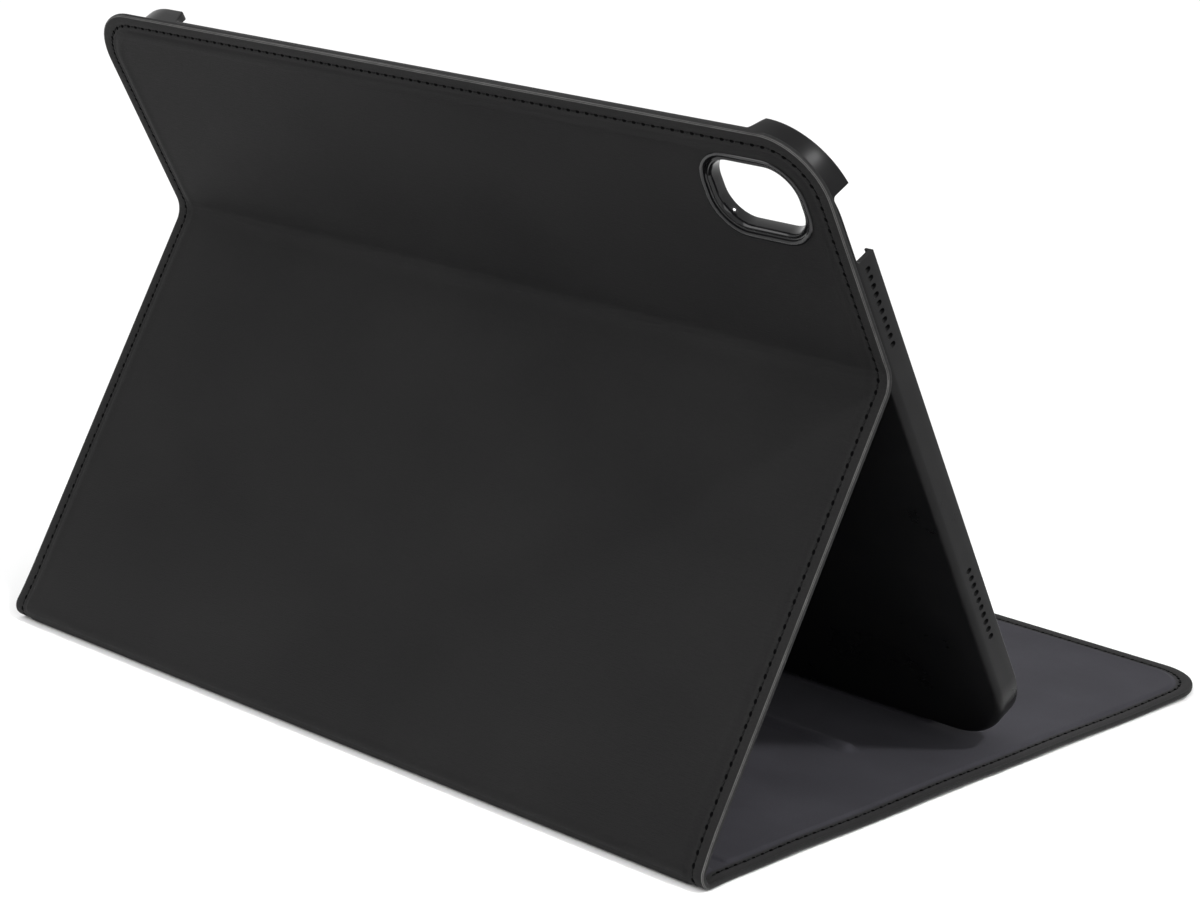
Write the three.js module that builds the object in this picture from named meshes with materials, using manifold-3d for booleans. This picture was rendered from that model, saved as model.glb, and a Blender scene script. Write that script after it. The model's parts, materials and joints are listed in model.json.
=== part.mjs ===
// Folio case for a 10.9 inch tablet, propped open as a stand: a hard tray on a folding, laminated cover.
// Millimetres, +Z up. X runs along the case, the screen faces -Y, and the front cover lies on Z = 0.
import * as THREE from 'three';
import { mergeVertices } from 'three/addons/utils/BufferGeometryUtils.js';
import Module from 'manifold-3d';

const wasm = await Module();
wasm.setup();

// The tablet that the tray holds
const TABLET = { length: 247.6, width: 178.5, thickness: 6.1, cornerRadius: 18 };

// Hard tray
const TRAY = {
  wall: 1.4, floor: 1.2, slack: 0.25,
  lipHeight: 0.6, lipReach: 1.0, backRounding: 2.0,
};
// The long walls are low between the corner clips; each clip length runs in from its end of the tray
const LOW_WALL = { height: 3.8, bottomHeight: 5.6, clipLeft: 27.5, clipRight: 22, ramp: 2.5 };
const BUTTON_NOTCH = { fromTop: 14.2, length: 18.2, sill: 1.9 };
const PORT_SLOT = { length: 14, height: 5.8 };
// A round end stops just short of a half circle, so that no edge of it has zero length
const ROUND_END = 0.99;
const SPEAKER = { fromMiddle: 45, holes: 10, pitch: 2.35, width: 1.3, height: 1.9 };

// Camera window and the glossy rim pressed into it
const WINDOW = {
  length: 30, width: 22, cornerRadius: 9.5,
  fromSide: 19.85, fromTop: 14.7, boardClearance: 0.5,
};
const RIM = { wall: 2.0, gap: 0.15, proud: 0.25 };

// Cover: layers, margins and hinge lines
const LAYER = { skin: 0.7, board: 0.8, lining: 0.5, glue: 0.1, step: 0.3 };
const COVER = { sideMargin: 2.55, topMargin: 3.4, heel: 3.0, cornerRadius: 16 };
const FOLD_FROM_TRAY_TOP = 62.5;
const SPINE_PITCH = 13;
const BOARD_INSET = { free: 5.2, hinge: 0.9, side: 5.2 };
const POCKET = { clearance: 0.2, shoulder: 1.1 };
const CREASE_GAP = 1.95;
const LINING_SETBACK = 0.5;
const BOND = { thickness: 0.8, inset: 9, gap: 0.1, cornerRadius: 4, windowClearance: 1.5 };

// Stand pose
const STAND_ANGLE = THREE.MathUtils.degToRad(60.1);
const TRAY_REST_GAP = 0.4;
const RIDGE = { halfLength: 97.5, width: 2.6, height: 0.8, seat: 0.1, ahead: 2.6, spacing: 28.9 };

// Magnets sealed in the front cover's board
const WAKE_MAGNET = { radius: 4, fromFree: 17, places: [-62, 62] };
const HOLD_MAGNET = { length: 22, width: 6, cornerRadius: 1, fromFree: 12, places: [-92, 0, 92] };
const MAGNET_CLEARANCE = 0.15;

// Sizes that follow
const trayLength = TABLET.length + 2 * (TRAY.slack + TRAY.wall);
const trayWidth = TABLET.width + 2 * (TRAY.slack + TRAY.wall);
const trayDepth = TRAY.floor + TABLET.thickness + TRAY.lipHeight;
const coverHalf = trayLength / 2 + COVER.sideMargin;
const coverThickness = LAYER.skin + LAYER.board + LAYER.lining + 2 * LAYER.glue;
const half = coverThickness / 2;
const trayBack = -half + LAYER.skin + LAYER.board + LAYER.glue + BOND.thickness + 2 * BOND.gap;
const trayTop = FOLD_FROM_TRAY_TOP;
const trayBottom = trayTop - trayWidth;
const upperReach = trayTop + COVER.topMargin;
const lowerPitch = COVER.heel - trayBottom;
const frontReach = lowerPitch + upperReach;

const wallReach = TRAY.wall + TRAY.slack + TRAY.lipReach;

// Levels through the laminate, from the outer face at -half to the inner face at +half
const LEVEL = {
  borderOuter: -half + LAYER.step,
  borderInner: -half + LAYER.step + LAYER.skin,
  boardOuter: -half + LAYER.skin + LAYER.glue,
  boardInner: half - LAYER.lining - LAYER.glue,
  liningBorder: -half + LAYER.step + LAYER.skin + LAYER.glue,
};
// How far a cutting tool runs past the face that it cuts, and how far one runs right through a panel
const OVERCUT = 1;
const THROUGH = 5;

// The tray leans so that its lower back edge stands TRAY_REST_GAP above the lining
function trayAngle() {
  const drop = lowerPitch * Math.sin(STAND_ANGLE) - half - TRAY_REST_GAP;
  const arm = Math.hypot(trayBottom, trayBack);
  return Math.asin(drop / arm) + Math.atan2(trayBack, -trayBottom);
}

function solidOf(geometry) {
  const bare = geometry.index ? geometry.toNonIndexed() : geometry.clone();
  bare.deleteAttribute('normal');
  bare.deleteAttribute('uv');
  const welded = mergeVertices(bare, 1e-5);
  return new wasm.Manifold(new wasm.Mesh({
    numProp: 3,
    vertProperties: new Float32Array(welded.attributes.position.array),
    triVerts: new Uint32Array(welded.index.array),
  }));
}

function geometryOf(solid) {
  const mesh = solid.getMesh();
  const geometry = new THREE.BufferGeometry();
  geometry.setAttribute('position', new THREE.BufferAttribute(mesh.vertProperties, mesh.numProp));
  geometry.setIndex(new THREE.BufferAttribute(mesh.triVerts, 1));
  geometry.computeVertexNormals();
  return geometry;
}

// A base solid with pieces added and then others taken away
function carve(base, added, taken) {
  let solid = solidOf(base);
  for (const piece of added) solid = solid.add(solidOf(piece));
  for (const piece of taken) solid = solid.subtract(solidOf(piece));
  return geometryOf(solid);
}

// Rectangle with one radius at its low-y corners and another at its high-y corners; radius 0 is square
function outline({ x0, x1, y0, y1, lowRadius, highRadius }) {
  const corners = [
    [x1, y0, lowRadius, -1, 1], [x1, y1, highRadius, -1, -1],
    [x0, y1, highRadius, 1, -1], [x0, y0, lowRadius, 1, 1],
  ];
  const shape = new THREE.Shape();
  corners.forEach(([x, y, radius, inX, inY], i) => {
    const start = (i - 1) * Math.PI / 2;
    const cx = x + inX * radius;
    const cy = y + inY * radius;
    const first = [cx + radius * Math.cos(start), cy + radius * Math.sin(start)];
    if (i === 0) shape.moveTo(...first);
    else shape.lineTo(...first);
    if (radius > 0) shape.absarc(cx, cy, radius, start, start + Math.PI / 2);
  });
  return shape;
}

function slab(shape, z0, z1, curveSegments = 8) {
  const geometry = new THREE.ExtrudeGeometry(shape, { depth: z1 - z0, bevelEnabled: false, curveSegments });
  geometry.translate(0, 0, z0);
  return geometry;
}

// A bar along X with the given section in the YZ plane
function barAlongX(section, x0, x1, curveSegments = 6) {
  const geometry = slab(section, x0, x1, curveSegments);
  return geometry.applyMatrix4(new THREE.Matrix4().makeBasis(
    new THREE.Vector3(0, 1, 0), new THREE.Vector3(0, 0, 1), new THREE.Vector3(1, 0, 0)));
}

function box(x0, x1, y0, y1, z0, z1) {
  const geometry = new THREE.BoxGeometry(x1 - x0, y1 - y0, z1 - z0);
  geometry.translate((x0 + x1) / 2, (y0 + y1) / 2, (z0 + z1) / 2);
  return geometry;
}

function piece(name, geometry, material) {
  const mesh = new THREE.Mesh(geometry, material);
  mesh.name = name;
  return mesh;
}

const leatherette = () => new THREE.MeshStandardMaterial({ color: 0x29292a, roughness: 0.78, metalness: 0 });
const microfibre = () => new THREE.MeshStandardMaterial({ color: 0x37363b, roughness: 0.95, metalness: 0 });
const greyboard = () => new THREE.MeshStandardMaterial({ color: 0x8b8378, roughness: 0.9, metalness: 0 });
const blackPlastic = () => new THREE.MeshStandardMaterial({ color: 0x141416, roughness: 0.38, metalness: 0 });
const glossPlastic = () => new THREE.MeshStandardMaterial({ color: 0x0a0a0c, roughness: 0.12, metalness: 0 });
const foamTape = () => new THREE.MeshStandardMaterial({ color: 0x2c2c2e, roughness: 1, metalness: 0 });
const nickel = () => new THREE.MeshStandardMaterial({ color: 0xb4b7ba, roughness: 0.3, metalness: 0.9 });

// One flat panel of the cover from y0 to y1; a free edge has round corners and a wide board inset
class Panel {
  constructor(y0, y1, { lowFree = false, highFree = false } = {}) {
    Object.assign(this, { y0, y1, lowFree, highFree });
  }

  radius(free, inset) {
    return free ? Math.max(COVER.cornerRadius - inset, 1) : 0;
  }

  // The panel's outline, drawn in by one amount at its sides and another at each end
  shape(side = 0, low = 0, high = 0) {
    return outline({
      x0: -coverHalf + side, x1: coverHalf - side, y0: this.y0 + low, y1: this.y1 - high,
      lowRadius: this.radius(this.lowFree, low), highRadius: this.radius(this.highFree, high),
    });
  }

  // The board's outline, grown by a clearance or a shoulder
  boardShape(grow = 0) {
    const low = this.lowFree ? BOARD_INSET.free : BOARD_INSET.hinge;
    const high = this.highFree ? BOARD_INSET.free : BOARD_INSET.hinge;
    const near = (inset) => Math.max(inset - grow, 0);
    return this.shape(BOARD_INSET.side - grow, near(low), near(high));
  }

  // Outer skin: a border, raised over the board, with the board's pocket on its inner side
  skin(taken = []) {
    const border = slab(this.shape(), LEVEL.borderOuter, LEVEL.borderInner);
    const raised = slab(this.boardShape(POCKET.shoulder), -half, LEVEL.borderInner);
    const pocket = slab(this.boardShape(POCKET.clearance), -half + LAYER.skin, THROUGH);
    return carve(border, [raised], [pocket, ...taken]);
  }

  board(taken = []) {
    return carve(slab(this.boardShape(), LEVEL.boardOuter, LEVEL.boardInner), [], taken);
  }

  endCut(y0, y1) {
    return box(-coverHalf - THROUGH, coverHalf + THROUGH, y0, y1, -THROUGH, THROUGH);
  }

  // Lining: the skin's counterpart on the inner side, held back where two linings meet in a fold
  lining(lowSetback = 0, highSetback = 0) {
    const border = slab(this.shape(), LEVEL.liningBorder, LEVEL.liningBorder + LAYER.lining);
    const raised = slab(this.boardShape(POCKET.shoulder), LEVEL.liningBorder, half);
    const pocket = slab(this.boardShape(POCKET.clearance), -THROUGH, half - LAYER.lining);
    const ends = [];
    if (lowSetback > 0) ends.push(this.endCut(this.y0 - THROUGH, this.y0 + lowSetback));
    if (highSetback > 0) ends.push(this.endCut(this.y1 - highSetback, this.y1 + THROUGH));
    return carve(border, [raised], [pocket, ...ends]);
  }
}

// Rolled web of skin and lining that a crease bends in, centred on the crease's axis
function creaseRoll() {
  const section = new THREE.Shape();
  section.absarc(0, 0, half, 0, 2 * Math.PI);
  return barAlongX(section, -coverHalf, coverHalf, 10);
}

function windowShape(grow) {
  const x = -trayLength / 2 + WINDOW.fromSide;
  const y = trayTop - WINDOW.fromTop;
  const radius = WINDOW.cornerRadius + grow;
  return outline({
    x0: x - WINDOW.length / 2 - grow, x1: x + WINDOW.length / 2 + grow,
    y0: y - WINDOW.width / 2 - grow, y1: y + WINDOW.width / 2 + grow,
    lowRadius: radius, highRadius: radius,
  });
}

const windowCut = (grow) => slab(windowShape(grow), -THROUGH, THROUGH);

// The tray's outline, drawn in from its outer faces
function trayShape(inset) {
  const radius = TABLET.cornerRadius + TRAY.slack + TRAY.wall - inset;
  return outline({
    x0: -trayLength / 2 + inset, x1: trayLength / 2 - inset,
    y0: trayBottom + inset, y1: trayTop - inset, lowRadius: radius, highRadius: radius,
  });
}

function trayBlock() {
  const r = TRAY.backRounding;
  const geometry = new THREE.ExtrudeGeometry(trayShape(0), {
    depth: trayDepth, bevelEnabled: true, bevelThickness: r, bevelSize: r, bevelOffset: -r,
    bevelSegments: 3, curveSegments: 10,
  });
  return geometry.translate(0, 0, trayBack + r);
}

// Cut that lowers a long wall between its clips, with a ramp at each clip
function lowWallCut(yStart, depth, height) {
  const left = trayLength / 2 - LOW_WALL.clipLeft;
  const right = -trayLength / 2 + LOW_WALL.clipRight;
  const top = trayDepth - height + OVERCUT;
  const profile = new THREE.Shape([
    new THREE.Vector2(right, 0), new THREE.Vector2(left, 0),
    new THREE.Vector2(left + LOW_WALL.ramp, top), new THREE.Vector2(right - LOW_WALL.ramp, top),
  ]);
  const cut = slab(profile, -depth, OVERCUT);
  const upright = new THREE.Matrix4().makeBasis(
    new THREE.Vector3(1, 0, 0), new THREE.Vector3(0, 0, 1), new THREE.Vector3(0, -1, 0));
  cut.applyMatrix4(upright);
  return cut.translate(0, yStart, trayBack + height);
}

function buttonCut() {
  const y1 = trayTop - BUTTON_NOTCH.fromTop;
  const x = -trayLength / 2;
  const sill = trayBack + BUTTON_NOTCH.sill;
  return box(x - OVERCUT, x + wallReach, y1 - BUTTON_NOTCH.length, y1, sill, trayBack + trayDepth + OVERCUT);
}

// A rounded hole through an end wall, centred on the tablet's edge
function endWallHole(x, y, length, height, segments) {
  const z = trayBack + TRAY.floor + TABLET.thickness / 2;
  const radius = Math.min(length, height) / 2 * ROUND_END;
  const section = outline({
    x0: y - length / 2, x1: y + length / 2, y0: z - height / 2, y1: z + height / 2,
    lowRadius: radius, highRadius: radius,
  });
  const reach = TRAY.wall + TRAY.slack;
  return barAlongX(section, x - reach, x + reach, segments);
}

function speakerCuts(x) {
  const middle = (trayTop + trayBottom) / 2;
  const cuts = [];
  for (const side of [-1, 1]) {
    for (let i = 0; i < SPEAKER.holes; i += 1) {
      const y = middle + side * SPEAKER.fromMiddle + (i - (SPEAKER.holes - 1) / 2) * SPEAKER.pitch;
      cuts.push(endWallHole(x, y, SPEAKER.width, SPEAKER.height, 1));
    }
  }
  return cuts;
}

function trayShell() {
  const back = trayBack;
  const cavity = slab(trayShape(TRAY.wall), back + TRAY.floor, back + TRAY.floor + TABLET.thickness, 10);
  const mouthShape = trayShape(TRAY.wall + TRAY.lipReach);
  const mouth = slab(mouthShape, back + TRAY.floor + OVERCUT, back + trayDepth + THROUGH, 10);
  const wide = trayLength;
  const face = back + trayDepth;
  return carve(trayBlock(), [], [
    box(-wide, wide, trayBottom - wide, trayTop + wide, face, face + 3 * THROUGH),
    cavity, mouth,
    lowWallCut(trayTop + OVERCUT - wallReach, wallReach, LOW_WALL.height),
    lowWallCut(trayBottom, wallReach, LOW_WALL.bottomHeight),
    buttonCut(),
    endWallHole(trayLength / 2, (trayTop + trayBottom) / 2, PORT_SLOT.length, PORT_SLOT.height, 4),
    ...speakerCuts(-trayLength / 2), ...speakerCuts(trayLength / 2),
    windowCut(0),
  ]);
}

// Oval ring through the cover and the tray's floor, flush with the floor's inner face
function cameraRim() {
  const back = trayBack + TRAY.floor;
  const body = slab(windowShape(-RIM.gap), -half - RIM.proud, back);
  return carve(body, [], [windowCut(-RIM.gap - RIM.wall)]);
}

function bondPad() {
  const shape = outline({
    x0: -trayLength / 2 + BOND.inset, x1: trayLength / 2 - BOND.inset,
    y0: BOND.inset, y1: trayTop - BOND.inset,
    lowRadius: BOND.cornerRadius, highRadius: BOND.cornerRadius,
  });
  const outer = LEVEL.boardInner + BOND.gap;
  return carve(slab(shape, outer, outer + BOND.thickness), [], [windowCut(BOND.windowClearance)]);
}

function ridgeBar() {
  const section = new THREE.Shape();
  section.moveTo(-RIDGE.width / 2, 0);
  section.lineTo(RIDGE.width / 2, 0);
  section.quadraticCurveTo(RIDGE.width / 2, RIDGE.height, 0, RIDGE.height);
  section.quadraticCurveTo(-RIDGE.width / 2, RIDGE.height, -RIDGE.width / 2, 0);
  return barAlongX(section, -RIDGE.halfLength, RIDGE.halfLength);
}

function circle(x, y, radius) {
  const shape = new THREE.Shape();
  shape.absarc(x, y, radius, 0, 2 * Math.PI);
  return shape;
}

// Wake magnets are discs and hold magnets are bars, both in windows of the front board near its free edge
function wakeShape(x, grow) {
  return circle(x, WAKE_MAGNET.fromFree - frontReach, WAKE_MAGNET.radius + grow);
}

function holdShape(x, grow) {
  const y = HOLD_MAGNET.fromFree - frontReach;
  const halfLength = HOLD_MAGNET.length / 2 + grow;
  const halfWidth = HOLD_MAGNET.width / 2 + grow;
  return outline({
    x0: x - halfLength, x1: x + halfLength, y0: y - halfWidth, y1: y + halfWidth,
    lowRadius: HOLD_MAGNET.cornerRadius + grow, highRadius: HOLD_MAGNET.cornerRadius + grow,
  });
}

function magnetCuts() {
  const wake = WAKE_MAGNET.places.map((x) => slab(wakeShape(x, MAGNET_CLEARANCE), -THROUGH, THROUGH));
  const hold = HOLD_MAGNET.places.map((x) => slab(holdShape(x, MAGNET_CLEARANCE), -THROUGH, THROUGH));
  return [...wake, ...hold];
}

function magnets() {
  const make = (shape, name) => piece(name, slab(shape, LEVEL.boardOuter, LEVEL.boardInner), nickel());
  return [
    ...WAKE_MAGNET.places.map((x, i) => make(wakeShape(x, 0), `wake_magnet_${i + 1}`)),
    ...HOLD_MAGNET.places.map((x, i) => make(holdShape(x, 0), `hold_magnet_${i + 1}`)),
  ];
}

// Two ridges under the lining that the tray's lower edge stands behind
function ridges(trayEdgeY) {
  const places = { front_ridge: trayEdgeY - RIDGE.ahead, rear_ridge: trayEdgeY + RIDGE.spacing };
  return Object.entries(places).map(([name, y]) => {
    const mesh = piece(name, ridgeBar(), microfibre());
    mesh.position.set(0, y, half + RIDGE.seat);
    return mesh;
  });
}

// Front cover: its hinge line is at y = 0 and it runs towards -Y
function frontCover(trayEdgeY) {
  const panel = new Panel(-frontReach, -CREASE_GAP, { lowFree: true });
  const group = new THREE.Group();
  group.add(
    piece('front_cover_skin', panel.skin(), leatherette()),
    piece('front_cover_board', panel.board(magnetCuts()), greyboard()),
    piece('front_cover_lining', panel.lining(), microfibre()),
    ...magnets(),
    ...ridges(trayEdgeY),
  );
  return group;
}

// Spine strip between the two lower hinge lines, with both of their crease rolls
function spine() {
  const panel = new Panel(CREASE_GAP, SPINE_PITCH - CREASE_GAP);
  const group = new THREE.Group();
  const rear = piece('rear_crease', creaseRoll(), leatherette());
  rear.position.y = SPINE_PITCH;
  group.add(
    piece('spine_skin', panel.skin(), leatherette()),
    piece('spine_board', panel.board(), greyboard()),
    piece('spine_lining', panel.lining(0, LINING_SETBACK), microfibre()),
    piece('front_crease', creaseRoll(), leatherette()),
    rear,
  );
  return group;
}

// Lower half of the back, the prop's leg, from the rear hinge line up to the fold
function lowerBack() {
  const panel = new Panel(CREASE_GAP, lowerPitch - CREASE_GAP);
  const group = new THREE.Group();
  const fold = piece('fold_crease', creaseRoll(), leatherette());
  fold.position.y = lowerPitch;
  group.add(
    piece('lower_back_skin', panel.skin(), leatherette()),
    piece('lower_back_board', panel.board(), greyboard()),
    piece('lower_back_lining', panel.lining(LINING_SETBACK, 0), microfibre()),
    fold,
  );
  return group;
}

// Upper half of the back, bonded to the tray
function upperBack() {
  const panel = new Panel(CREASE_GAP, upperReach, { highFree: true });
  const group = new THREE.Group();
  group.add(
    piece('upper_back_skin', panel.skin([windowCut(0)]), leatherette()),
    piece('upper_back_board', panel.board([windowCut(WINDOW.boardClearance)]), greyboard()),
    piece('bond_pad', bondPad(), foamTape()),
    piece('tray_shell', trayShell(), blackPlastic()),
    piece('camera_rim', cameraRim(), glossPlastic()),
  );
  return group;
}

// Hinge lines in the YZ plane, with the rear one at y = 0 and z = 0
function standLayout() {
  const lean = trayAngle();
  const foldY = -lowerPitch * Math.cos(STAND_ANGLE);
  const foldZ = lowerPitch * Math.sin(STAND_ANGLE);
  return { lean, foldY, foldZ, trayEdgeY: foldY + trayBottom * Math.cos(lean) - trayBack * Math.sin(lean) };
}

function place(group, y, z, angle) {
  group.position.set(0, y, z);
  group.rotation.x = angle;
  return group;
}

const stand = standLayout();
const tabletCase = new THREE.Group();
tabletCase.add(
  place(frontCover(stand.trayEdgeY + SPINE_PITCH), -SPINE_PITCH, 0, 0),
  place(spine(), -SPINE_PITCH, 0, 0),
  place(lowerBack(), 0, 0, Math.PI - STAND_ANGLE),
  place(upperBack(), stand.foldY, stand.foldZ, stand.lean),
);
tabletCase.position.set(0, (frontReach + SPINE_PITCH - half) / 2, half);

export default tabletCase;
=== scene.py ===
"""Folio tablet case, propped open as a stand.

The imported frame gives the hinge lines, panels and seats.  The cover is cut here as one flat
blank, split where it bends, laid along the frame's hinge chain and stitched.  The tray is
moulded around the tablet's place, with its clips, openings and camera ring.
Lengths are in metres unless a name says otherwise.
"""

import json
import logging
import math
from dataclasses import dataclass, field, replace
from enum import Enum
from typing import Callable, Iterable, Sequence

import bmesh
import bpy
from mathutils import Matrix, Vector


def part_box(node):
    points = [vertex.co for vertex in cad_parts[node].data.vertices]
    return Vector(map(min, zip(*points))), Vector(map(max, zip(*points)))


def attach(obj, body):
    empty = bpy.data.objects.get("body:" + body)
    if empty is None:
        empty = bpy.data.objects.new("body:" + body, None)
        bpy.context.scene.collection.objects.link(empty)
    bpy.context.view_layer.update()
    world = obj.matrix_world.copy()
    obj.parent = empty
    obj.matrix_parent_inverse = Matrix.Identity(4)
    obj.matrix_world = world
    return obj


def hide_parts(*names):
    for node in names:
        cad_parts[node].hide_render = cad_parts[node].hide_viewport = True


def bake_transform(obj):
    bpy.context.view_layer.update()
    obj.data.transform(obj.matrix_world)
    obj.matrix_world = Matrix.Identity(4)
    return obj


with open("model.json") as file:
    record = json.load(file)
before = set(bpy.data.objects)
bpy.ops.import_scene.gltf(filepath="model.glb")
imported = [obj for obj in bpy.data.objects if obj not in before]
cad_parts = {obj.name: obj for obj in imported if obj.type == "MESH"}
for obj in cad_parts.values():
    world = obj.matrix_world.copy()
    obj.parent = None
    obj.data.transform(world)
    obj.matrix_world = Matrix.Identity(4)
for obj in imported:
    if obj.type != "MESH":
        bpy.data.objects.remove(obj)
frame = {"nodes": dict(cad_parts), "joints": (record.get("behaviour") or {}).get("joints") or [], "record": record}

MM = 0.001
EPS = 1e-6
SHARP_ANGLE = math.radians(38)
UV_NAME = "flat"
EDGE_NAME = "edge_share"
log = logging.getLogger("tablet_case")


# ---------------------------------------------------------------- finishes


class NodeKit:
    """Short calls for building one material's node tree."""

    def __init__(self, name: str) -> None:
        """Starts a material that holds one Principled shader.

        Args:
            name: the material's name.
        """
        self.material = bpy.data.materials.new(name)
        self.material.use_nodes = True
        self.tree = self.material.node_tree
        self.shader = self.tree.nodes["Principled BSDF"]

    def node(self, kind: str, settings: dict | None = None, **inputs: object) -> bpy.types.Node:
        """Adds a node and fills its sockets.

        Args:
            kind: the node's type, without the ShaderNode prefix.
            settings: properties of the node itself.
            inputs: socket values or sources, with underscores for spaces.

        Returns:
            The new node.
        """
        made = self.tree.nodes.new("ShaderNode" + kind)
        for key, value in (settings or {}).items():
            setattr(made, key, value)
        for key, value in inputs.items():
            self.feed(made.inputs[key.replace("_", " ")], value)
        return made

    def feed(self, socket: bpy.types.NodeSocket, value: object) -> None:
        """Links a socket to a source, or sets its value.

        Args:
            socket: the input to fill.
            value: an output socket, a number, a colour or a vector.
        """
        if isinstance(value, bpy.types.NodeSocket):
            self.tree.links.new(value, socket)
        else:
            socket.default_value = value

    def math(self, operation: str, a: object, b: object = 0.0) -> bpy.types.NodeSocket:
        """Combines two numbers, and returns the result's socket."""
        made = self.node("Math", {"operation": operation})
        self.feed(made.inputs[0], a)
        self.feed(made.inputs[1], b)
        return made.outputs[0]

    def coordinates(self, on_cloth: bool, scale: Sequence[float]) -> bpy.types.NodeSocket:
        """Coordinates for a pattern, scaled along each axis.

        Args:
            on_cloth: True to follow the flat blank, False to follow the piece in space.
            scale: repeats to the metre along each axis.

        Returns:
            The vector's socket.
        """
        if on_cloth:
            source = self.node("UVMap", {"uv_map": UV_NAME}).outputs["UV"]
        else:
            source = self.node("TexCoord").outputs["Object"]
        return self.node("Mapping", Vector=source, Scale=tuple(scale)).outputs["Vector"]

    def noise(
        self, on_cloth: bool, scale: Sequence[float], detail: float, rough: float
    ) -> bpy.types.NodeSocket:
        """A noise field, from 0 to 1.

        Args:
            on_cloth: True to follow the flat blank, False to follow the piece in space.
            scale: repeats to the metre along each axis.
            detail: how many finer layers the field has.
            rough: how strong the finer layers are.

        Returns:
            The field's socket.
        """
        made = self.node("TexNoise", Vector=self.coordinates(on_cloth, scale), Scale=1.0,
                         Detail=detail, Roughness=rough)
        return made.outputs["Fac"]

    def edge_share(self) -> bpy.types.NodeSocket:
        """The mesh's own share of its pressed border, or of the edge paint's painted highlight, from 0 to 1."""
        return self.node("Attribute", {"attribute_name": EDGE_NAME}).outputs["Fac"]

    def weigh(self, first: object, share: float, second: object, other: float) -> bpy.types.NodeSocket:
        """The sum of two values, each times its own share."""
        return self.math("ADD", self.math("MULTIPLY", first, share),
                         self.math("MULTIPLY", second, other))

    def spread(
        self, value: object, low: float, high: float, to_low: float = 0.0, to_high: float = 1.0
    ) -> bpy.types.NodeSocket:
        """Maps a value's range onto another one, and stops at its ends."""
        made = self.node("MapRange", Value=value, From_Min=low, From_Max=high,
                         To_Min=to_low, To_Max=to_high)
        return made.outputs["Result"]

    def blend_colours(
        self, factor: object, first: object, second: Sequence[float]
    ) -> bpy.types.NodeSocket:
        """A colour between two others, by a factor from 0 to 1.

        Args:
            factor: the share of the second colour.
            first: a colour, or the socket of one.
            second: a colour.

        Returns:
            The colour's socket.
        """
        made = self.node("Mix", {"data_type": "RGBA"})
        self.feed(made.inputs[0], factor)
        self.feed(made.inputs[6], first if isinstance(first, bpy.types.NodeSocket) else (*first, 1.0))
        self.feed(made.inputs[7], (*second, 1.0))
        return made.outputs[2]

    def bump(self, height: object, depth: float) -> None:
        """Bumps the shader's surface by a height field, after any bump that it has.

        Args:
            height: the field's socket, from 0 to 1.
            depth: how deep the field's full range is.
        """
        normal = self.shader.inputs["Normal"]
        made = self.node("Bump", Height=height, Distance=depth, Strength=1.0)
        if normal.links:
            self.tree.links.new(normal.links[0].from_socket, made.inputs["Normal"])
        self.tree.links.new(made.outputs["Normal"], normal)

    def finish(self, **sockets: object) -> bpy.types.Material:
        """Fills the shader's own sockets and returns the material."""
        for key, value in sockets.items():
            self.feed(self.shader.inputs[key.replace("_", " ")], value)
        return self.material


@dataclass(frozen=True)
class Leatherette:
    """Coated cloth with a fine crosswise grain, on the outside of the cover."""

    deep: tuple[float, float, float] = (0.0035, 0.0035, 0.0038)
    high: tuple[float, float, float] = (0.0128, 0.0126, 0.0126)
    roughness: tuple[float, float] = (0.56, 0.72)
    grain_depth: float = 0.055 * MM
    border_lift: float = 0.22

    def material(self) -> bpy.types.Material:
        """Builds the finish.

        Returns:
            The material.
        """
        kit = NodeKit("leatherette")
        slub = kit.noise(True, (260, 2600, 1), 3.0, 0.6)
        thread = kit.noise(True, (900, 4200, 1), 2.0, 0.5)
        weft = kit.noise(True, (3600, 1500, 1), 2.0, 0.5)
        mottle = kit.noise(True, (18, 26, 1), 3.0, 0.5)
        grain = kit.weigh(slub, 0.55, thread, 0.45)
        weave = kit.weigh(grain, 0.78, weft, 0.22)
        tone = kit.weigh(kit.spread(weave, 0.35, 0.65), 0.72, kit.spread(mottle, 0.3, 0.7), 0.28)
        kit.bump(kit.spread(weave, 0.3, 0.7), self.grain_depth)
        lifted = kit.math("ADD", tone, kit.math("MULTIPLY", kit.edge_share(), self.border_lift))
        return kit.finish(
            Base_Color=kit.blend_colours(lifted, self.deep, self.high),
            Roughness=kit.spread(grain, 0.35, 0.65, *self.roughness),
            Specular_IOR_Level=0.10,
        )


@dataclass(frozen=True)
class Microfibre:
    """Brushed, faintly violet lining of the cover's inner side."""

    deep: tuple[float, float, float] = (0.0225, 0.0220, 0.0262)
    high: tuple[float, float, float] = (0.0440, 0.0430, 0.0505)
    pressed: tuple[float, float, float] = (0.0195, 0.0192, 0.0190)
    nap_depth: float = 0.05 * MM

    def material(self) -> bpy.types.Material:
        """Builds the finish.

        Returns:
            The material.
        """
        kit = NodeKit("microfibre")
        nap = kit.noise(True, (2300, 2700, 1), 4.0, 0.7)
        brushed = kit.noise(True, (38, 55, 1), 5.0, 0.62)
        tone = kit.weigh(kit.spread(nap, 0.3, 0.7), 0.5, kit.spread(brushed, 0.3, 0.7), 0.5)
        kit.bump(nap, self.nap_depth)
        cloth = kit.blend_colours(tone, self.deep, self.high)
        return kit.finish(
            Base_Color=kit.blend_colours(kit.edge_share(), cloth, self.pressed),
            Roughness=kit.spread(brushed, 0.3, 0.7, 0.86, 0.97),
            Specular_IOR_Level=0.08,
            Sheen_Weight=0.05,
            Sheen_Roughness=0.45,
            Sheen_Tint=(0.80, 0.79, 0.86, 1.0),
        )


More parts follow.
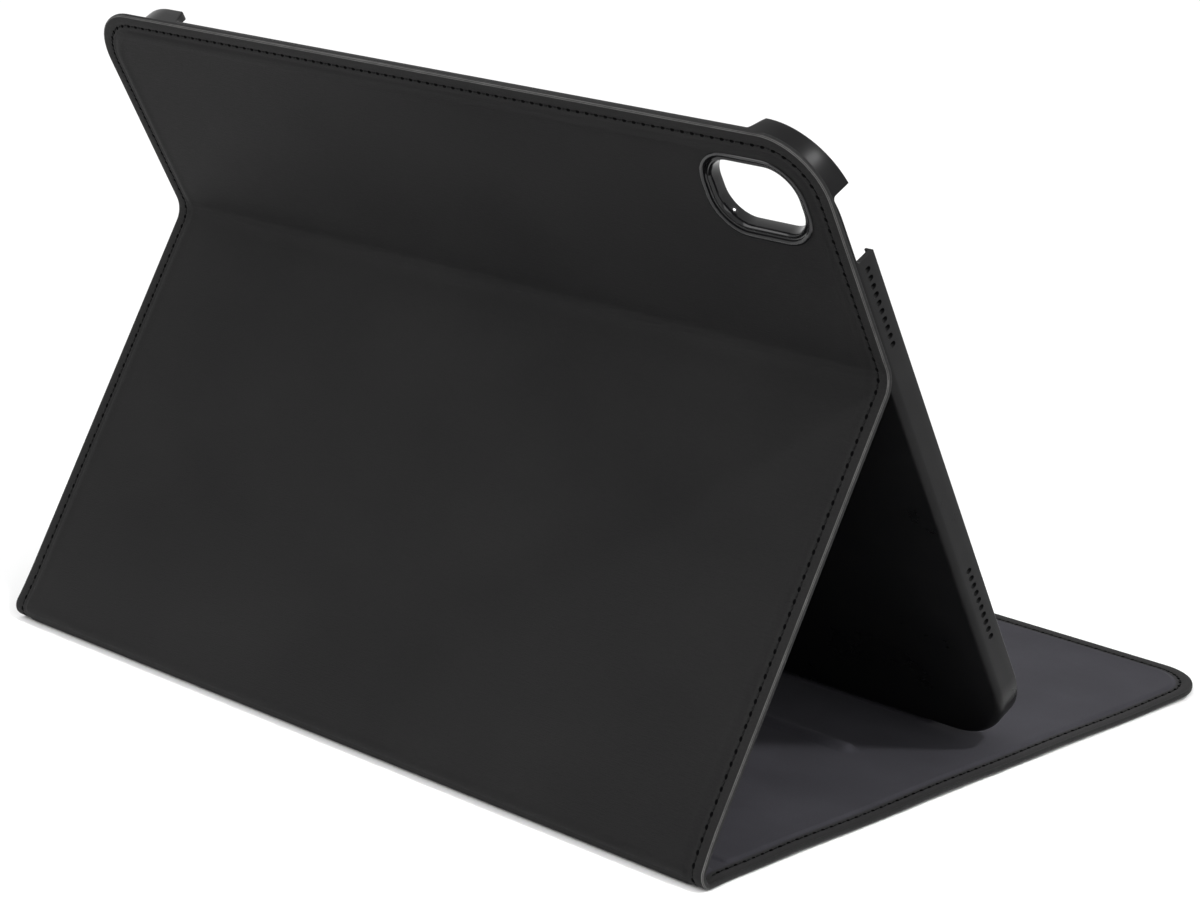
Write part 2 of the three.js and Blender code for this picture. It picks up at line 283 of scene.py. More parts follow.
@dataclass(frozen=True)
class EdgePaint:
    """Burnished grey paint that seals the cover's cut edge, with a painted highlight in patches along its outer
    corner.
    """

    base: tuple[float, float, float] = (0.0090, 0.0090, 0.0092)
    rubbed: tuple[float, float, float] = (0.1050, 0.1040, 0.1020)
    brush_depth: float = 0.06 * MM

    def material(self) -> bpy.types.Material:
        """Builds the finish.

        Returns:
            The material.
        """
        kit = NodeKit("edge_paint")
        highlight_patches = kit.noise(True, (130, 130, 1), 5.0, 0.65)
        strands = kit.noise(True, (1500, 1500, 1), 3.0, 0.6)
        # painted highlight: lightens the bead's outer corner in patches, standing in for light on its rounded edge
        rubbed = kit.math("MULTIPLY", kit.edge_share(), kit.spread(highlight_patches, 0.3, 0.7, 0.45, 1.0))
        kit.bump(strands, self.brush_depth)
        return kit.finish(
            Base_Color=kit.blend_colours(rubbed, self.base, self.rubbed),
            Roughness=kit.spread(strands, 0.3, 0.7, 0.55, 0.75),
            Specular_IOR_Level=0.15,
        )


@dataclass(frozen=True)
class MouldedPlastic:
    """Black moulded plastic, with a spark-eroded texture where it isn't polished."""

    name: str
    colour: tuple[float, float, float]
    worn: tuple[float, float, float]
    roughness: tuple[float, float]
    texture_depth: float
    shine: float

    def material(self) -> bpy.types.Material:
        """Builds the finish.

        Returns:
            The material.
        """
        kit = NodeKit(self.name)
        spark = kit.noise(False, (2600, 2600, 2600), 3.0, 0.6)
        handling = kit.noise(False, (45, 60, 60), 5.0, 0.6)
        hairline = kit.noise(False, (90, 2200, 900), 2.0, 0.5)
        kit.bump(spark, self.texture_depth)
        kit.bump(hairline, 0.2 * self.texture_depth)
        return kit.finish(
            Base_Color=kit.blend_colours(kit.spread(handling, 0.35, 0.7), self.colour, self.worn),
            Roughness=kit.spread(handling, 0.3, 0.7, *self.roughness),
            Specular_IOR_Level=self.shine,
        )


@dataclass(frozen=True)
class Thread:
    """Black bonded sewing thread, with the ply's twist across it."""

    colour: tuple[float, float, float] = (0.0050, 0.0050, 0.0052)
    lit: tuple[float, float, float] = (0.0120, 0.0120, 0.0122)
    ply_depth: float = 0.05 * MM

    def material(self) -> bpy.types.Material:
        """Builds the finish.

        Returns:
            The material.
        """
        kit = NodeKit("thread")
        twist = kit.node("TexWave", {"wave_type": "BANDS", "bands_direction": "DIAGONAL"},
                         Vector=kit.coordinates(False, (1, 1, 1)), Scale=900.0, Distortion=0.6)
        kit.bump(twist.outputs["Fac"], self.ply_depth)
        return kit.finish(
            Base_Color=kit.blend_colours(twist.outputs["Fac"], self.colour, self.lit),
            Roughness=0.7,
            Specular_IOR_Level=0.05,
        )


@dataclass(frozen=True)
class NeedleHole:
    """Painted shade in the depth of a needle hole, near-black and patchy."""

    deep: tuple[float, float, float] = (0.0012, 0.0012, 0.0013)
    frayed: tuple[float, float, float] = (0.0036, 0.0036, 0.0038)

    def material(self) -> bpy.types.Material:
        """Builds the finish, and returns the material."""
        kit = NodeKit("needle_hole")
        shade_mottle = kit.noise(False, (4000, 4000, 4000), 2.0, 0.6)
        # painted shade: near-black colour standing in for the shade inside each hole
        return kit.finish(
            Base_Color=kit.blend_colours(shade_mottle, self.deep, self.frayed),
            Roughness=1.0,
            Specular_IOR_Level=0.0,
        )


@dataclass(frozen=True)
class Greyboard:
    """Pressed paperboard that stiffens each panel."""

    dark: tuple[float, float, float] = (0.20, 0.18, 0.15)
    pale: tuple[float, float, float] = (0.33, 0.30, 0.26)
    pulp_depth: float = 0.05 * MM

    def material(self) -> bpy.types.Material:
        """Builds the finish, and returns the material."""
        kit = NodeKit("greyboard")
        pulp = kit.noise(False, (700, 700, 700), 6.0, 0.7)
        kit.bump(pulp, self.pulp_depth)
        return kit.finish(
            Base_Color=kit.blend_colours(kit.spread(pulp, 0.35, 0.65), self.dark, self.pale),
            Roughness=0.92,
        )


@dataclass(frozen=True)
class FoamTape:
    """Closed-cell foam tape that bonds the tray to the cover."""

    deep: tuple[float, float, float] = (0.012, 0.012, 0.013)
    lit: tuple[float, float, float] = (0.03, 0.03, 0.032)
    cell_depth: float = 0.08 * MM

    def material(self) -> bpy.types.Material:
        """Builds the finish, and returns the material."""
        kit = NodeKit("foam_tape")
        cells = kit.node("TexVoronoi", Vector=kit.coordinates(False, (1, 1, 1)), Scale=2600.0)
        kit.bump(cells.outputs["Distance"], self.cell_depth)
        return kit.finish(
            Base_Color=kit.blend_colours(cells.outputs["Distance"], self.deep, self.lit),
            Roughness=0.95,
        )


@dataclass(frozen=True)
class NickelPlate:
    """Nickel plating on the sealed magnets."""

    colour: tuple[float, float, float] = (0.50, 0.50, 0.50)
    bright: tuple[float, float, float] = (0.66, 0.65, 0.62)
    smear_depth: float = 0.01 * MM

    def material(self) -> bpy.types.Material:
        """Builds the finish, and returns the material."""
        kit = NodeKit("nickel_plate")
        smear = kit.noise(False, (300, 900, 900), 4.0, 0.6)
        kit.bump(smear, self.smear_depth)
        return kit.finish(
            Base_Color=kit.blend_colours(smear, self.colour, self.bright),
            Roughness=kit.spread(smear, 0.3, 0.7, 0.22, 0.4),
            Metallic=1.0,
        )


class Finish(Enum):
    """The finishes of the case, each with the maker of its material."""

    LEATHERETTE = Leatherette()
    MICROFIBRE = Microfibre()
    EDGE_PAINT = EdgePaint()
    TRAY_PLASTIC = MouldedPlastic(
        "tray_plastic", colour=(0.0052, 0.0052, 0.0055), worn=(0.0080, 0.0080, 0.0083),
        roughness=(0.25, 0.34), texture_depth=0.012 * MM, shine=0.11)
    GLOSS_PLASTIC = MouldedPlastic(
        "gloss_plastic", colour=(0.0035, 0.0035, 0.0040), worn=(0.0050, 0.0050, 0.0055),
        roughness=(0.09, 0.15), texture_depth=0.002 * MM, shine=0.3)
    THREAD = Thread()
    NEEDLE_HOLE = NeedleHole()
    GREYBOARD = Greyboard()
    FOAM_TAPE = FoamTape()
    NICKEL = NickelPlate()


class FinishShelf:
    """Makes each finish's material once and hands it out."""

    def __init__(self) -> None:
        """Starts with no material made."""
        self.made: dict[Finish, bpy.types.Material] = {}

    def take(self, finish: Finish) -> bpy.types.Material:
        """Returns the finish's material, and makes it the first time."""
        if finish not in self.made:
            self.made[finish] = finish.value.material()
        return self.made[finish]


shelf = FinishShelf()


# ---------------------------------------------------------------- layout from the frame


@dataclass(frozen=True)
class PanelAxes:
    """A flat panel's own axes: x along the case, t away from its hinge and h towards the lining."""

    y: float
    z: float
    angle: float

    def matrix(self) -> Matrix:
        """Returns the matrix from the panel's axes to the frame."""
        return Matrix.Translation((0, self.y, self.z)) @ Matrix.Rotation(self.angle, 4, "X")

    def local_box(self, node: str) -> tuple[Vector, Vector]:
        """Measures a CAD node along the panel's axes.

        Args:
            node: the CAD node's name.

        Returns:
            Its lowest and highest corners.
        """
        back = self.matrix().inverted()
        points = [back @ v.co for v in frame["nodes"][node].data.vertices]
        low = Vector([min(p[i] for p in points) for i in range(3)])
        high = Vector([max(p[i] for p in points) for i in range(3)])
        return low, high


def joint_place(name: str) -> tuple[float, float]:
    """Returns a hinge line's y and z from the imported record."""
    joint = next(j for j in frame["joints"] if j["name"] == name)
    return joint["pos_m"][1], joint["pos_m"][2]


def read_layout() -> dict[str, PanelAxes]:
    """Works out each panel's axes from the hinge lines and the tablet's seat.

    Returns:
        The panels' axes by body name.
    """
    front, rear, fold = (joint_place(n) for n in ("front_hinge", "stand_hinge", "fold_hinge"))
    seat = next(m for m in frame["record"]["mounts"] if m["name"] == "tablet_seat")["axis"]
    leg = math.atan2(fold[1] - rear[1], fold[0] - rear[0])
    lean = math.atan2(-seat[1], seat[2])
    return {
        "front_cover": PanelAxes(*front, 0.0),
        "spine": PanelAxes(*front, 0.0),
        "lower_back": PanelAxes(*rear, leg),
        "tray": PanelAxes(*fold, lean),
    }


AXES = read_layout()


@dataclass(frozen=True)
class Stretch:
    """A straight or evenly curved piece of the cover's centre line."""

    start: float
    y: float
    z: float
    angle: float
    curvature: float
    length: float

    def at(self, s: float) -> tuple[float, float, float]:
        """Returns y, z and direction at a distance along the whole centre line."""
        run = s - self.start
        turned = self.angle + self.curvature * run
        if abs(self.curvature) < EPS:
            return self.y + run * math.cos(self.angle), self.z + run * math.sin(self.angle), turned
        y = self.y + (math.sin(turned) - math.sin(self.angle)) / self.curvature
        z = self.z - (math.cos(turned) - math.cos(self.angle)) / self.curvature
        return y, z, turned


@dataclass
class HingeChain:
    """The cover's centre line from its front free edge to its top edge, round at its bends."""

    rear_radius: float = 2.7 * MM
    fold_radius: float = 7.5 * MM
    stretches: list[Stretch] = field(default_factory=list)
    origin: dict[str, float] = field(default_factory=dict)
    bends: dict[str, tuple[float, float]] = field(default_factory=dict)

    def __post_init__(self) -> None:
        """Lays the panels and bends end to end."""
        reach = -AXES["front_cover"].local_box("front_cover_skin")[0].y
        pitch = joint_place("stand_hinge")[0] - joint_place("front_hinge")[0]
        leg = math.dist(joint_place("stand_hinge"), joint_place("fold_hinge"))
        top = AXES["tray"].local_box("upper_back_skin")[1].y
        rear_turn = AXES["lower_back"].angle
        fold_turn = AXES["tray"].angle - rear_turn
        rear_cut = self.rear_radius * math.tan(rear_turn / 2)
        fold_cut = self.fold_radius * math.tan(-fold_turn / 2)
        y, z = joint_place("front_hinge")
        self.origin["front_cover"] = self.origin["spine"] = reach
        self.add(Stretch(0.0, y - reach, z, 0.0, 0.0, reach + pitch - rear_cut))
        self.add_bend("rear", 1 / self.rear_radius, self.rear_radius * rear_turn)
        self.origin["lower_back"] = self.length() - rear_cut
        self.extend(0.0, leg - rear_cut - fold_cut)
        self.add_bend("fold", -1 / self.fold_radius, -self.fold_radius * fold_turn)
        self.origin["tray"] = self.length() - fold_cut
        self.extend(0.0, top - fold_cut)
        self.bends["front"] = (reach, reach)

    def add(self, stretch: Stretch) -> None:
        """Appends a stretch."""
        self.stretches.append(stretch)

    def extend(self, curvature: float, length: float) -> None:
        """Appends a stretch that starts where the last one ends."""
        end = self.length()
        y, z, angle = self.stretches[-1].at(end)
        self.add(Stretch(end, y, z, angle, curvature, length))

    def add_bend(self, name: str, curvature: float, length: float) -> None:
        """Appends a named bend."""
        start = self.length()
        self.extend(curvature, length)
        self.bends[name] = (start, start + length)

    def length(self) -> float:
        """Returns the centre line's length so far."""
        last = self.stretches[-1]
        return last.start + last.length

    def place(self, x: float, s: float, h: float) -> Vector:
        """Finds a point of the bent cover.

        Args:
            x: place along the case.
            s: distance along the centre line from the front free edge.
            h: height over the centre line, towards the lining.

        Returns:
            The point in the frame.
        """
        stretch = next((k for k in reversed(self.stretches) if k.start <= s), self.stretches[0])
        y, z, angle = stretch.at(s)
        return Vector((x, y - h * math.sin(angle), z + h * math.cos(angle)))


# ---------------------------------------------------------------- mesh helpers


def smooth_step(value: float, low: float, high: float) -> float:
    """Returns 0 below low, 1 above high, and an even rise between them."""
    t = min(max((value - low) / (high - low), 0.0), 1.0)
    return t * t * (3 - 2 * t)


@dataclass(frozen=True)
class RoundedRect:
    """A rectangle in a flat piece's own plane, with round corners."""

    x0: float
    x1: float
    y0: float
    y1: float
    radius: float
    segments: int = 12

    def grown(self, by: float) -> "RoundedRect":
        """Returns the outline moved outwards all round."""
        return RoundedRect(self.x0 - by, self.x1 + by, self.y0 - by, self.y1 + by,
                           self.radius + by, self.segments)

    def with_radius(self, radius: float) -> "RoundedRect":
        """Returns the outline with another corner radius."""
        return replace(self, radius=radius)

    def face(self, bm: bmesh.types.BMesh, z: float = 0.0) -> bmesh.types.BMFace:
        """Adds the outline as one face.

        Args:
            bm: the mesh to add to.
            z: the face's height.

        Returns:
            The face.
        """
        grid = bmesh.ops.create_grid(bm, x_segments=1, y_segments=1, size=0.5)
        verts = grid["verts"]
        bmesh.ops.scale(bm, verts=verts, vec=(self.x1 - self.x0, self.y1 - self.y0, 1))
        middle = ((self.x0 + self.x1) / 2, (self.y0 + self.y1) / 2, z)
        bmesh.ops.translate(bm, verts=verts, vec=middle)
        kept = set(bm.faces) - set(verts[0].link_faces)
        bmesh.ops.bevel(bm, geom=verts, offset=self.radius, offset_type="OFFSET", segments=self.segments,
                        profile=0.5, affect="VERTICES", material=-1)
        return next(f for f in bm.faces if f not in kept)

    def normal(self, x: float, y: float) -> Vector:
        """Returns the outline's outward direction at its point nearest to x and y."""
        cx = min(max(x, self.x0 + self.radius), self.x1 - self.radius)
        cy = min(max(y, self.y0 + self.radius), self.y1 - self.radius)
        out = Vector((x - cx, y - cy, 0))
        return out.normalized() if out.length > EPS else Vector((0, 0, 0))

    def depth(self, x: float, y: float) -> float:
        """Returns how far inside the outline a point is, negative outside."""
        mx, my = (self.x0 + self.x1) / 2, (self.y0 + self.y1) / 2
        qx = abs(x - mx) - (self.x1 - self.x0) / 2 + self.radius
        qy = abs(y - my) - (self.y1 - self.y0) / 2 + self.radius
        outside = math.hypot(max(qx, 0.0), max(qy, 0.0)) + min(max(qx, qy), 0.0)
        return self.radius - outside

    def walk(self, pitch: float) -> list[tuple[float, float, float]]:
        """Steps evenly round the outline.

        Args:
            pitch: the wanted step, which is fitted to a whole number of steps.

        Returns:
            For each step, its x, y and direction.
        """
        r = self.radius
        wide, high = self.x1 - self.x0 - 2 * r, self.y1 - self.y0 - 2 * r
        arc = r * math.pi / 2
        total = 2 * (wide + high) + 4 * arc
        corners = [(self.x1 - r, self.y0 + r), (self.x1 - r, self.y1 - r),
                   (self.x0 + r, self.y1 - r), (self.x0 + r, self.y0 + r)]
        starts = [(self.x0 + r, self.y0), (self.x1, self.y0 + r),
                  (self.x1 - r, self.y1), (self.x0, self.y1 - r)]
        steps = []
        count = round(total / pitch)
        for i in range(count):
            run = (i + 0.5) * total / count
            side = 0
            length = wide
            while run > length + arc:
                run -= length + arc
                side += 1
                length = high if side % 2 else wide
            heading = side * math.pi / 2
            if run <= length:
                sx, sy = starts[side]
                steps.append((sx + run * math.cos(heading), sy + run * math.sin(heading), heading))
            else:
                turned = heading + (run - length) / r
                cx, cy = corners[side]
                steps.append((cx + r * math.sin(turned), cy - r * math.cos(turned), turned))
        return steps


def raise_ring(
    bm: bmesh.types.BMesh, edges: list, outline: RoundedRect, profile: Sequence[tuple[float, float]]
) -> list:
    """Sweeps a section round an outline, by extruding its edge loop from point to point.

    Args:
        bm: the mesh.
        edges: the loop to start from, which lies at the section's first point.
        outline: the outline that the section's insets are measured from.
        profile: the section's points, each an inset and a height.

    Returns:
        The edges of the last loop.
    """
    for (inset0, z0), (inset1, z1) in zip(profile, profile[1:]):
        grown = bmesh.ops.extrude_edge_only(bm, edges=edges)["geom"]
        verts = [g for g in grown if isinstance(g, bmesh.types.BMVert)]
        fresh = set(verts)
        edges = [g for g in grown if isinstance(g, bmesh.types.BMEdge) and set(g.verts) <= fresh]
        for v in verts:
            v.co += outline.normal(v.co.x, v.co.y) * (inset0 - inset1)
            v.co.z += z1 - z0
    return edges


def closed_ring(outline: RoundedRect, profile: Sequence[tuple[float, float]]) -> bmesh.types.BMesh:
    """Sweeps a closed section all the way round an outline.

    Args:
        outline: the outline that the section's insets are measured from.
        profile: the section's points, each an inset and a height, whose last meets its first.

    Returns:
        The ring's mesh.
    """
    bm = bmesh.new()
    start = outline.grown(-profile[0][0]).face(bm, profile[0][1])
    first = list(start.edges)
    bmesh.ops.delete(bm, geom=[start], context="FACES_ONLY")
    last = raise_ring(bm, first, outline, profile)
    bmesh.ops.bridge_loops(bm, edges=first + last)
    return bm


def quarter(steps: int) -> list[float]:
    """Returns even angles from 0 to a right angle."""
    return [math.radians(90 / steps * i) for i in range(steps + 1)]


def lay_flat_map(bm: bmesh.types.BMesh) -> None:
    """Gives a flat mesh the blank's own coordinates as its map."""
    uv = bm.loops.layers.uv.new(UV_NAME)
    for f in bm.faces:
        for loop in f.loops:
            loop[uv].uv = loop.vert.co.xy


def mark_creases(bm: bmesh.types.BMesh) -> None:
    """Makes a mesh's faces smooth and its creases sharp."""
    for f in bm.faces:
        f.smooth = True
    for e in bm.edges:
        e.smooth = len(e.link_faces) == 2 and e.calc_face_angle(0.0) < SHARP_ANGLE


def slice_mesh(bm: bmesh.types.BMesh, places: Iterable[float], axis: int) -> None:
    """Cuts the mesh into strips with planes across one axis."""
    normal = Vector([1.0 if i == axis else 0.0 for i in range(3)])
    for place in places:
        geom = bm.verts[:] + bm.edges[:] + bm.faces[:]
        bmesh.ops.bisect_plane(bm, geom=geom, dist=EPS, plane_co=normal * place, plane_no=normal)


def even_cuts(low: float, high: float, step: float) -> list[float]:
    """Returns even places between two ends, without the ends."""
    count = max(round((high - low) / step), 1)
    return [low + (high - low) * i / count for i in range(1, count)]


def to_object(name: str, bm: bmesh.types.BMesh, finish: Finish) -> bpy.types.Object:
    """Makes a finished object of a mesh: smooth faces, sharp creases, material and slot.

    Args:
        name: the piece's name.
        bm: its mesh, which is used up.
        finish: its finish.

    Returns:
        The object.
    """
    mark_creases(bm)
    mesh = bpy.data.meshes.new(name)
    bm.to_mesh(mesh)
    bm.free()
    made = bpy.data.objects.new(name, mesh)
    bpy.context.scene.collection.objects.link(made)
    made.data.materials.append(shelf.take(finish))
    log.info("%s: %d faces", name, len(mesh.polygons))
    return made


def cut_with(piece: bpy.types.Object, cutter: bmesh.types.BMesh) -> None:
    """Takes a closed cutter away from a piece.

    Args:
        piece: the piece to cut.
        cutter: the cutter's mesh, in the frame, which is used up.
    """
    bmesh.ops.recalc_face_normals(cutter, faces=cutter.faces[:])
    mesh = bpy.data.meshes.new("cutter")
    cutter.to_mesh(mesh)
    cutter.free()
    tool = bpy.data.objects.new("cutter", mesh)
    bpy.context.scene.collection.objects.link(tool)
    modifier = piece.modifiers.new("cut", "BOOLEAN")
    modifier.operation = "DIFFERENCE"
    modifier.solver = "EXACT"
    modifier.object = tool
    depsgraph = bpy.context.evaluated_depsgraph_get()
    result = bpy.data.meshes.new_from_object(piece.evaluated_get(depsgraph))
    piece.modifiers.clear()
    old, piece.data = piece.data, result
    bpy.data.meshes.remove(old)
    bpy.data.objects.remove(tool)
    bpy.data.meshes.remove(mesh)
    sharpen(result)


def sharpen(mesh: bpy.types.Mesh) -> None:
    """Marks a cut mesh's creases sharp again and its faces smooth."""
    bm = bmesh.new()
    bm.from_mesh(mesh)
    bmesh.ops.dissolve_degenerate(bm, dist=EPS, edges=bm.edges[:])
    mark_creases(bm)
    bm.to_mesh(mesh)
    bm.free()


def clones(bm: bmesh.types.BMesh, count: int) -> list[list[bmesh.types.BMVert]]:
    """Repeats the mesh's one shape by doubling it.

    Args:
        bm: a mesh that holds the shape.
        count: how many shapes are wanted.

    Returns:
        Each shape's vertices.
    """
    number = bm.verts.layers.int.new("copy")
    have = 1
    while have < count:
        made = bmesh.ops.duplicate(bm, geom=bm.verts[:] + bm.edges[:] + bm.faces[:])["geom"]
        for item in made:
            if isinstance(item, bmesh.types.BMVert):
                item[number] += have
        have *= 2
    bmesh.ops.delete(bm, geom=[v for v in bm.verts if v[number] >= count], context="VERTS")
    groups: list[list[bmesh.types.BMVert]] = [[] for _ in range(count)]
    for v in bm.verts:
        groups[v[number]].append(v)
    return groups


def prism(
    bm: bmesh.types.BMesh, outline: RoundedRect, low: float, high: float, place: Matrix
) -> None:
    """Adds a closed prism of an outline between two heights, then places it."""
    before = set(bm.verts)
    face = outline.face(bm, low)
    top = bmesh.ops.extrude_face_region(bm, geom=[face], use_keep_orig=True)["geom"]
    raised = [g for g in top if isinstance(g, bmesh.types.BMVert)]
    bmesh.ops.translate(bm, verts=raised, vec=(0, 0, high - low))
    bmesh.ops.transform(bm, matrix=place, verts=[v for v in bm.verts if v not in before])


# ---------------------------------------------------------------- the cover


class Side(Enum):
    """The two faces of the cover."""

    OUTER = "outer"
    INNER = "inner"

    def outward(self) -> int:
        """Returns the way out of the sheet along its height."""
        return -1 if self is Side.OUTER else 1


@dataclass(frozen=True)
class Section:
    """A length of the cover that rides on one body or bends between two."""

    name: str
    start: float
    end: float
    bodies: tuple[str, ...]
    replaces_outer: tuple[str, ...] = ()
    replaces_inner: tuple[str, ...] = ()

    def attach(self, piece: bpy.types.Object, chain: HingeChain) -> None:
        """Rides a piece on this section's one body, or only bakes its place where the section lies between two.

        Args:
            piece: the piece, in place.
            chain: the cover's centre line.
        """
        if len(self.bodies) == 1:
            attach(piece, self.bodies[0])
        else:
            ends = chain.place(0, self.start, 0), chain.place(0, self.end, 0)
            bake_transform(piece)


# Widths of the blank's edge loops, from its cut edge past the seam to the boards' shoulders.
RING_WIDTHS = [w * MM for w in (
    0.25, 0.35, 0.85, 0.95, 0.35, 0.3, 0.35, 0.3, 0.35, 0.4, 0.4, 0.4, 0.4, 0.4, 0.4, 0.5, 0.7)]


@dataclass
class Cover:
    """The laminated cover: skin, lining, painted edge and stitching, from the front edge to the top."""

    chain: HingeChain
    corner_radius: float = 16 * MM
    board_corner: float = 10.8 * MM
    hinge_corner: float = 0.8 * MM
    border_outer: float = -0.80 * MM
    board_step_outer: float = 0.30 * MM
    border_inner: float = 0.62 * MM
    board_step_inner: float = 0.48 * MM
    shoulder: float = 0.8 * MM
    board_ease: float = 0.3 * MM
    swell: float = 0.13 * MM
    swell_inset: float = 6.4 * MM
    swell_half_width: float = 1.5 * MM
    swell_rise: float = 6 * MM
    skin: float = 0.70 * MM
    lining: float = 0.50 * MM
    seam_inset: float = 3.1 * MM
    seam_sink: float = 0.16 * MM
    seam_half_width: float = 0.65 * MM
    bead_bulge: float = 0.10 * MM
    ridge_height: float = 1.5 * MM
    ridge_half_width: float = 2.5 * MM
    stitch_pitch: float = 3.0 * MM
    slant: float = math.radians(9)
    hole_size: tuple[float, float] = (0.74 * MM, 0.46 * MM)
    rear_relief: float = 0.42 * MM
    relief_reach: tuple[float, float] = (4 * MM, 9 * MM)
    bare_run: float = 3 * MM
    valley_reach: float = 7 * MM
    valley_floor: float = 0.3 * MM
    fold_pinch: float = 0.14 * MM
    pinch_reach: float = 1.3 * MM
    edge_easing: float = 0.12 * MM
    edge_lift: float = 0.55 * MM
    lift_reach: float = 13 * MM
    lift_end: tuple[float, float] = (25 * MM, 5 * MM)
    flare: float = 0.9 * MM
    flare_reach: float = 14 * MM
    flare_inset: float = 30 * MM
    lining_rest: float = 0.09 * MM
    thread_half: float = 0.23 * MM
    hole_depth: float = 0.06 * MM
    front_bend_reach: tuple[float, float] = (6 * MM, 3.5 * MM)
    rear_bend_reach: tuple[float, float] = (0.6 * MM, 4 * MM)
    fold_bend_reach: tuple[float, float] = (4 * MM, 4 * MM)

    def __post_init__(self) -> None:
        """Works out the blank, the boards' places and the sections."""
        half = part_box("front_cover_skin")[1].x
        self.blank = RoundedRect(-half, half, 0.0, self.chain.length(), self.corner_radius, 14)
        self.boards = [self.board_outline(n, b) for n, b in (
            ("front_cover_board", "front_cover"), ("spine_board", "spine"),
            ("lower_back_board", "lower_back"), ("upper_back_board", "tray"))]
        lower, upper = self.boards[2], self.boards[3]
        back = RoundedRect(lower[0].x0, lower[0].x1, lower[0].y0, upper[0].y1, self.hinge_corner)
        self.plateaus = self.boards[:2] + [(back, lower[1], upper[2])]
        hinge, origin = AXES["front_cover"].y, self.chain.origin["front_cover"]
        self.ridges = [sum(p.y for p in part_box(n)) / 2 - hinge + origin
                       for n in ("front_ridge", "rear_ridge")]
        self.ridge_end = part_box("front_ridge")[1].x
        self.sections = self.split()

    def board_outline(self, node: str, body: str) -> tuple[RoundedRect, float, float]:
        """Finds a board's outline on the flat blank.

        Args:
            node: the board's CAD node.
            body: the body that it rides on.

        Returns:
            The outline, and how round its low and high corners are.
        """
        low, high = AXES[body].local_box(node)
        origin = self.chain.origin[body]
        free_low, free_high = node.startswith("front"), node.startswith("upper")
        outline = RoundedRect(low.x, high.x, origin + low.y, origin + high.y, self.hinge_corner)
        low_radius = self.board_corner if free_low else self.hinge_corner
        high_radius = self.board_corner if free_high else self.hinge_corner
        return outline, low_radius, high_radius

    def split(self) -> list[Section]:
        """Splits the cover where it bends.

        Returns:
            The sections from the front edge to the top.
        """
        marks = [0.0]
        reaches = (self.front_bend_reach, self.rear_bend_reach, self.fold_bend_reach)
        for name, (before, after) in zip(("front", "rear", "fold"), reaches):
            start, end = self.chain.bends[name]
            marks += [start - before, end + after]
        marks.append(self.chain.length())
        rows = [
            ("front", ("front_cover",), ("front_cover_skin",),
             ("front_cover_lining", "front_ridge", "rear_ridge")),
            ("front_bend", ("front_cover", "spine"), ("front_crease",), ()),
            ("spine", ("spine",), ("spine_skin",), ("spine_lining",)),
            ("rear_bend", ("spine", "lower_back"), ("rear_crease",), ()),
            ("lower_back", ("lower_back",), ("lower_back_skin",), ("lower_back_lining",)),
            ("fold_bend", ("lower_back", "tray"), ("fold_crease",), ()),
            ("upper_back", ("tray",), ("upper_back_skin",), ()),
        ]
        return [Section(n, a, b, bodies, outer, inner)
                for (n, bodies, outer, inner), a, b in zip(rows, marks, marks[1:])]

    def raised(self, x: float, s: float) -> float:
        """Returns how far the sheet has climbed onto a board at a point, from 0 to 1."""
        best = 0.0
        for outline, low_radius, high_radius in self.plateaus:
            radius = low_radius if s < (outline.y0 + outline.y1) / 2 else high_radius
            depth = outline.with_radius(radius).depth(x, s)
            best = max(best, smooth_step(depth, -self.shoulder, self.board_ease))
        return best

    def from_bend(self, name: str, s: float) -> float:
        """Returns how far a place on the centre line is from the middle of a bend."""
        start, end = self.chain.bends[name]
        return abs(s - (start + end) / 2)

    def valley(self, s: float) -> float:
        """Returns 0 along the back's fold, and 1 away from it."""
        return smooth_step(self.from_bend("fold", s), self.valley_floor, self.valley_reach)

    def sway(self, x: float, s: float) -> float:
        """Returns how far the front cover's edge stands off its flat place, in slow waves."""
        bend = self.chain.bends["front"][0]
        front = 1 - smooth_step(s, bend - self.lift_end[0], bend - self.lift_end[1])
        wave = 0.5 + 0.5 * math.sin(s * 92 + 1.2) * math.cos(s * 31 + x * 9)
        edge = 1 - smooth_step(self.blank.depth(x, s), 0.0, self.lift_reach)
        return self.edge_lift * wave * edge * front

    def seam(self, x: float, s: float) -> float:
        """Returns how deep the stitching pulls the sheet in at a point, from 0 to 1."""
        away = abs(self.blank.depth(x, s) - self.seam_inset)
        return 1 - smooth_step(away, 0.1 * MM, self.seam_half_width)

    def ridge(self, x: float, s: float) -> float:
        """Returns the share of a ridge's height under the lining at a point."""
        best = 0.0
        for place in self.ridges:
            beyond = max(abs(x) - self.ridge_end + self.ridge_half_width, 0.0)
            away = math.hypot(beyond, s - place)
            slope = smooth_step(away, 0.35 * self.ridge_half_width, 1.15 * self.ridge_half_width)
            best = max(best, 1 - slope)
        return best

    def crease(self, s: float) -> float:
        """Returns how sharply the skin is pinched where the back folds, from 0 to 1."""
        return 1 - smooth_step(self.from_bend("fold", s), 0.0, self.pinch_reach)

    def height(self, side: Side, x: float, s: float) -> float:
        """Returns the height of the cover's outer or inner face over its centre line."""
        edge = 1 - smooth_step(self.blank.depth(x, s), 0.0, 0.5 * MM)
        if side is Side.OUTER:
            level = self.border_outer - self.board_step_outer * self.raised(x, s) * self.valley(s)
            level += self.seam_sink * self.seam(x, s) + self.edge_easing * edge
            level += self.fold_pinch * self.crease(s)
            level -= self.swell * self.swollen(x, s)
        else:
            level = self.border_inner + self.board_step_inner * self.raised(x, s) * self.lined(s)
            level -= self.rear_relief * self.tucked(s)
            level += self.ridge_height * self.ridge(x, s)
            level -= self.seam_sink * self.seam(x, s) + self.edge_easing * edge
        return level + self.sway(x, s)

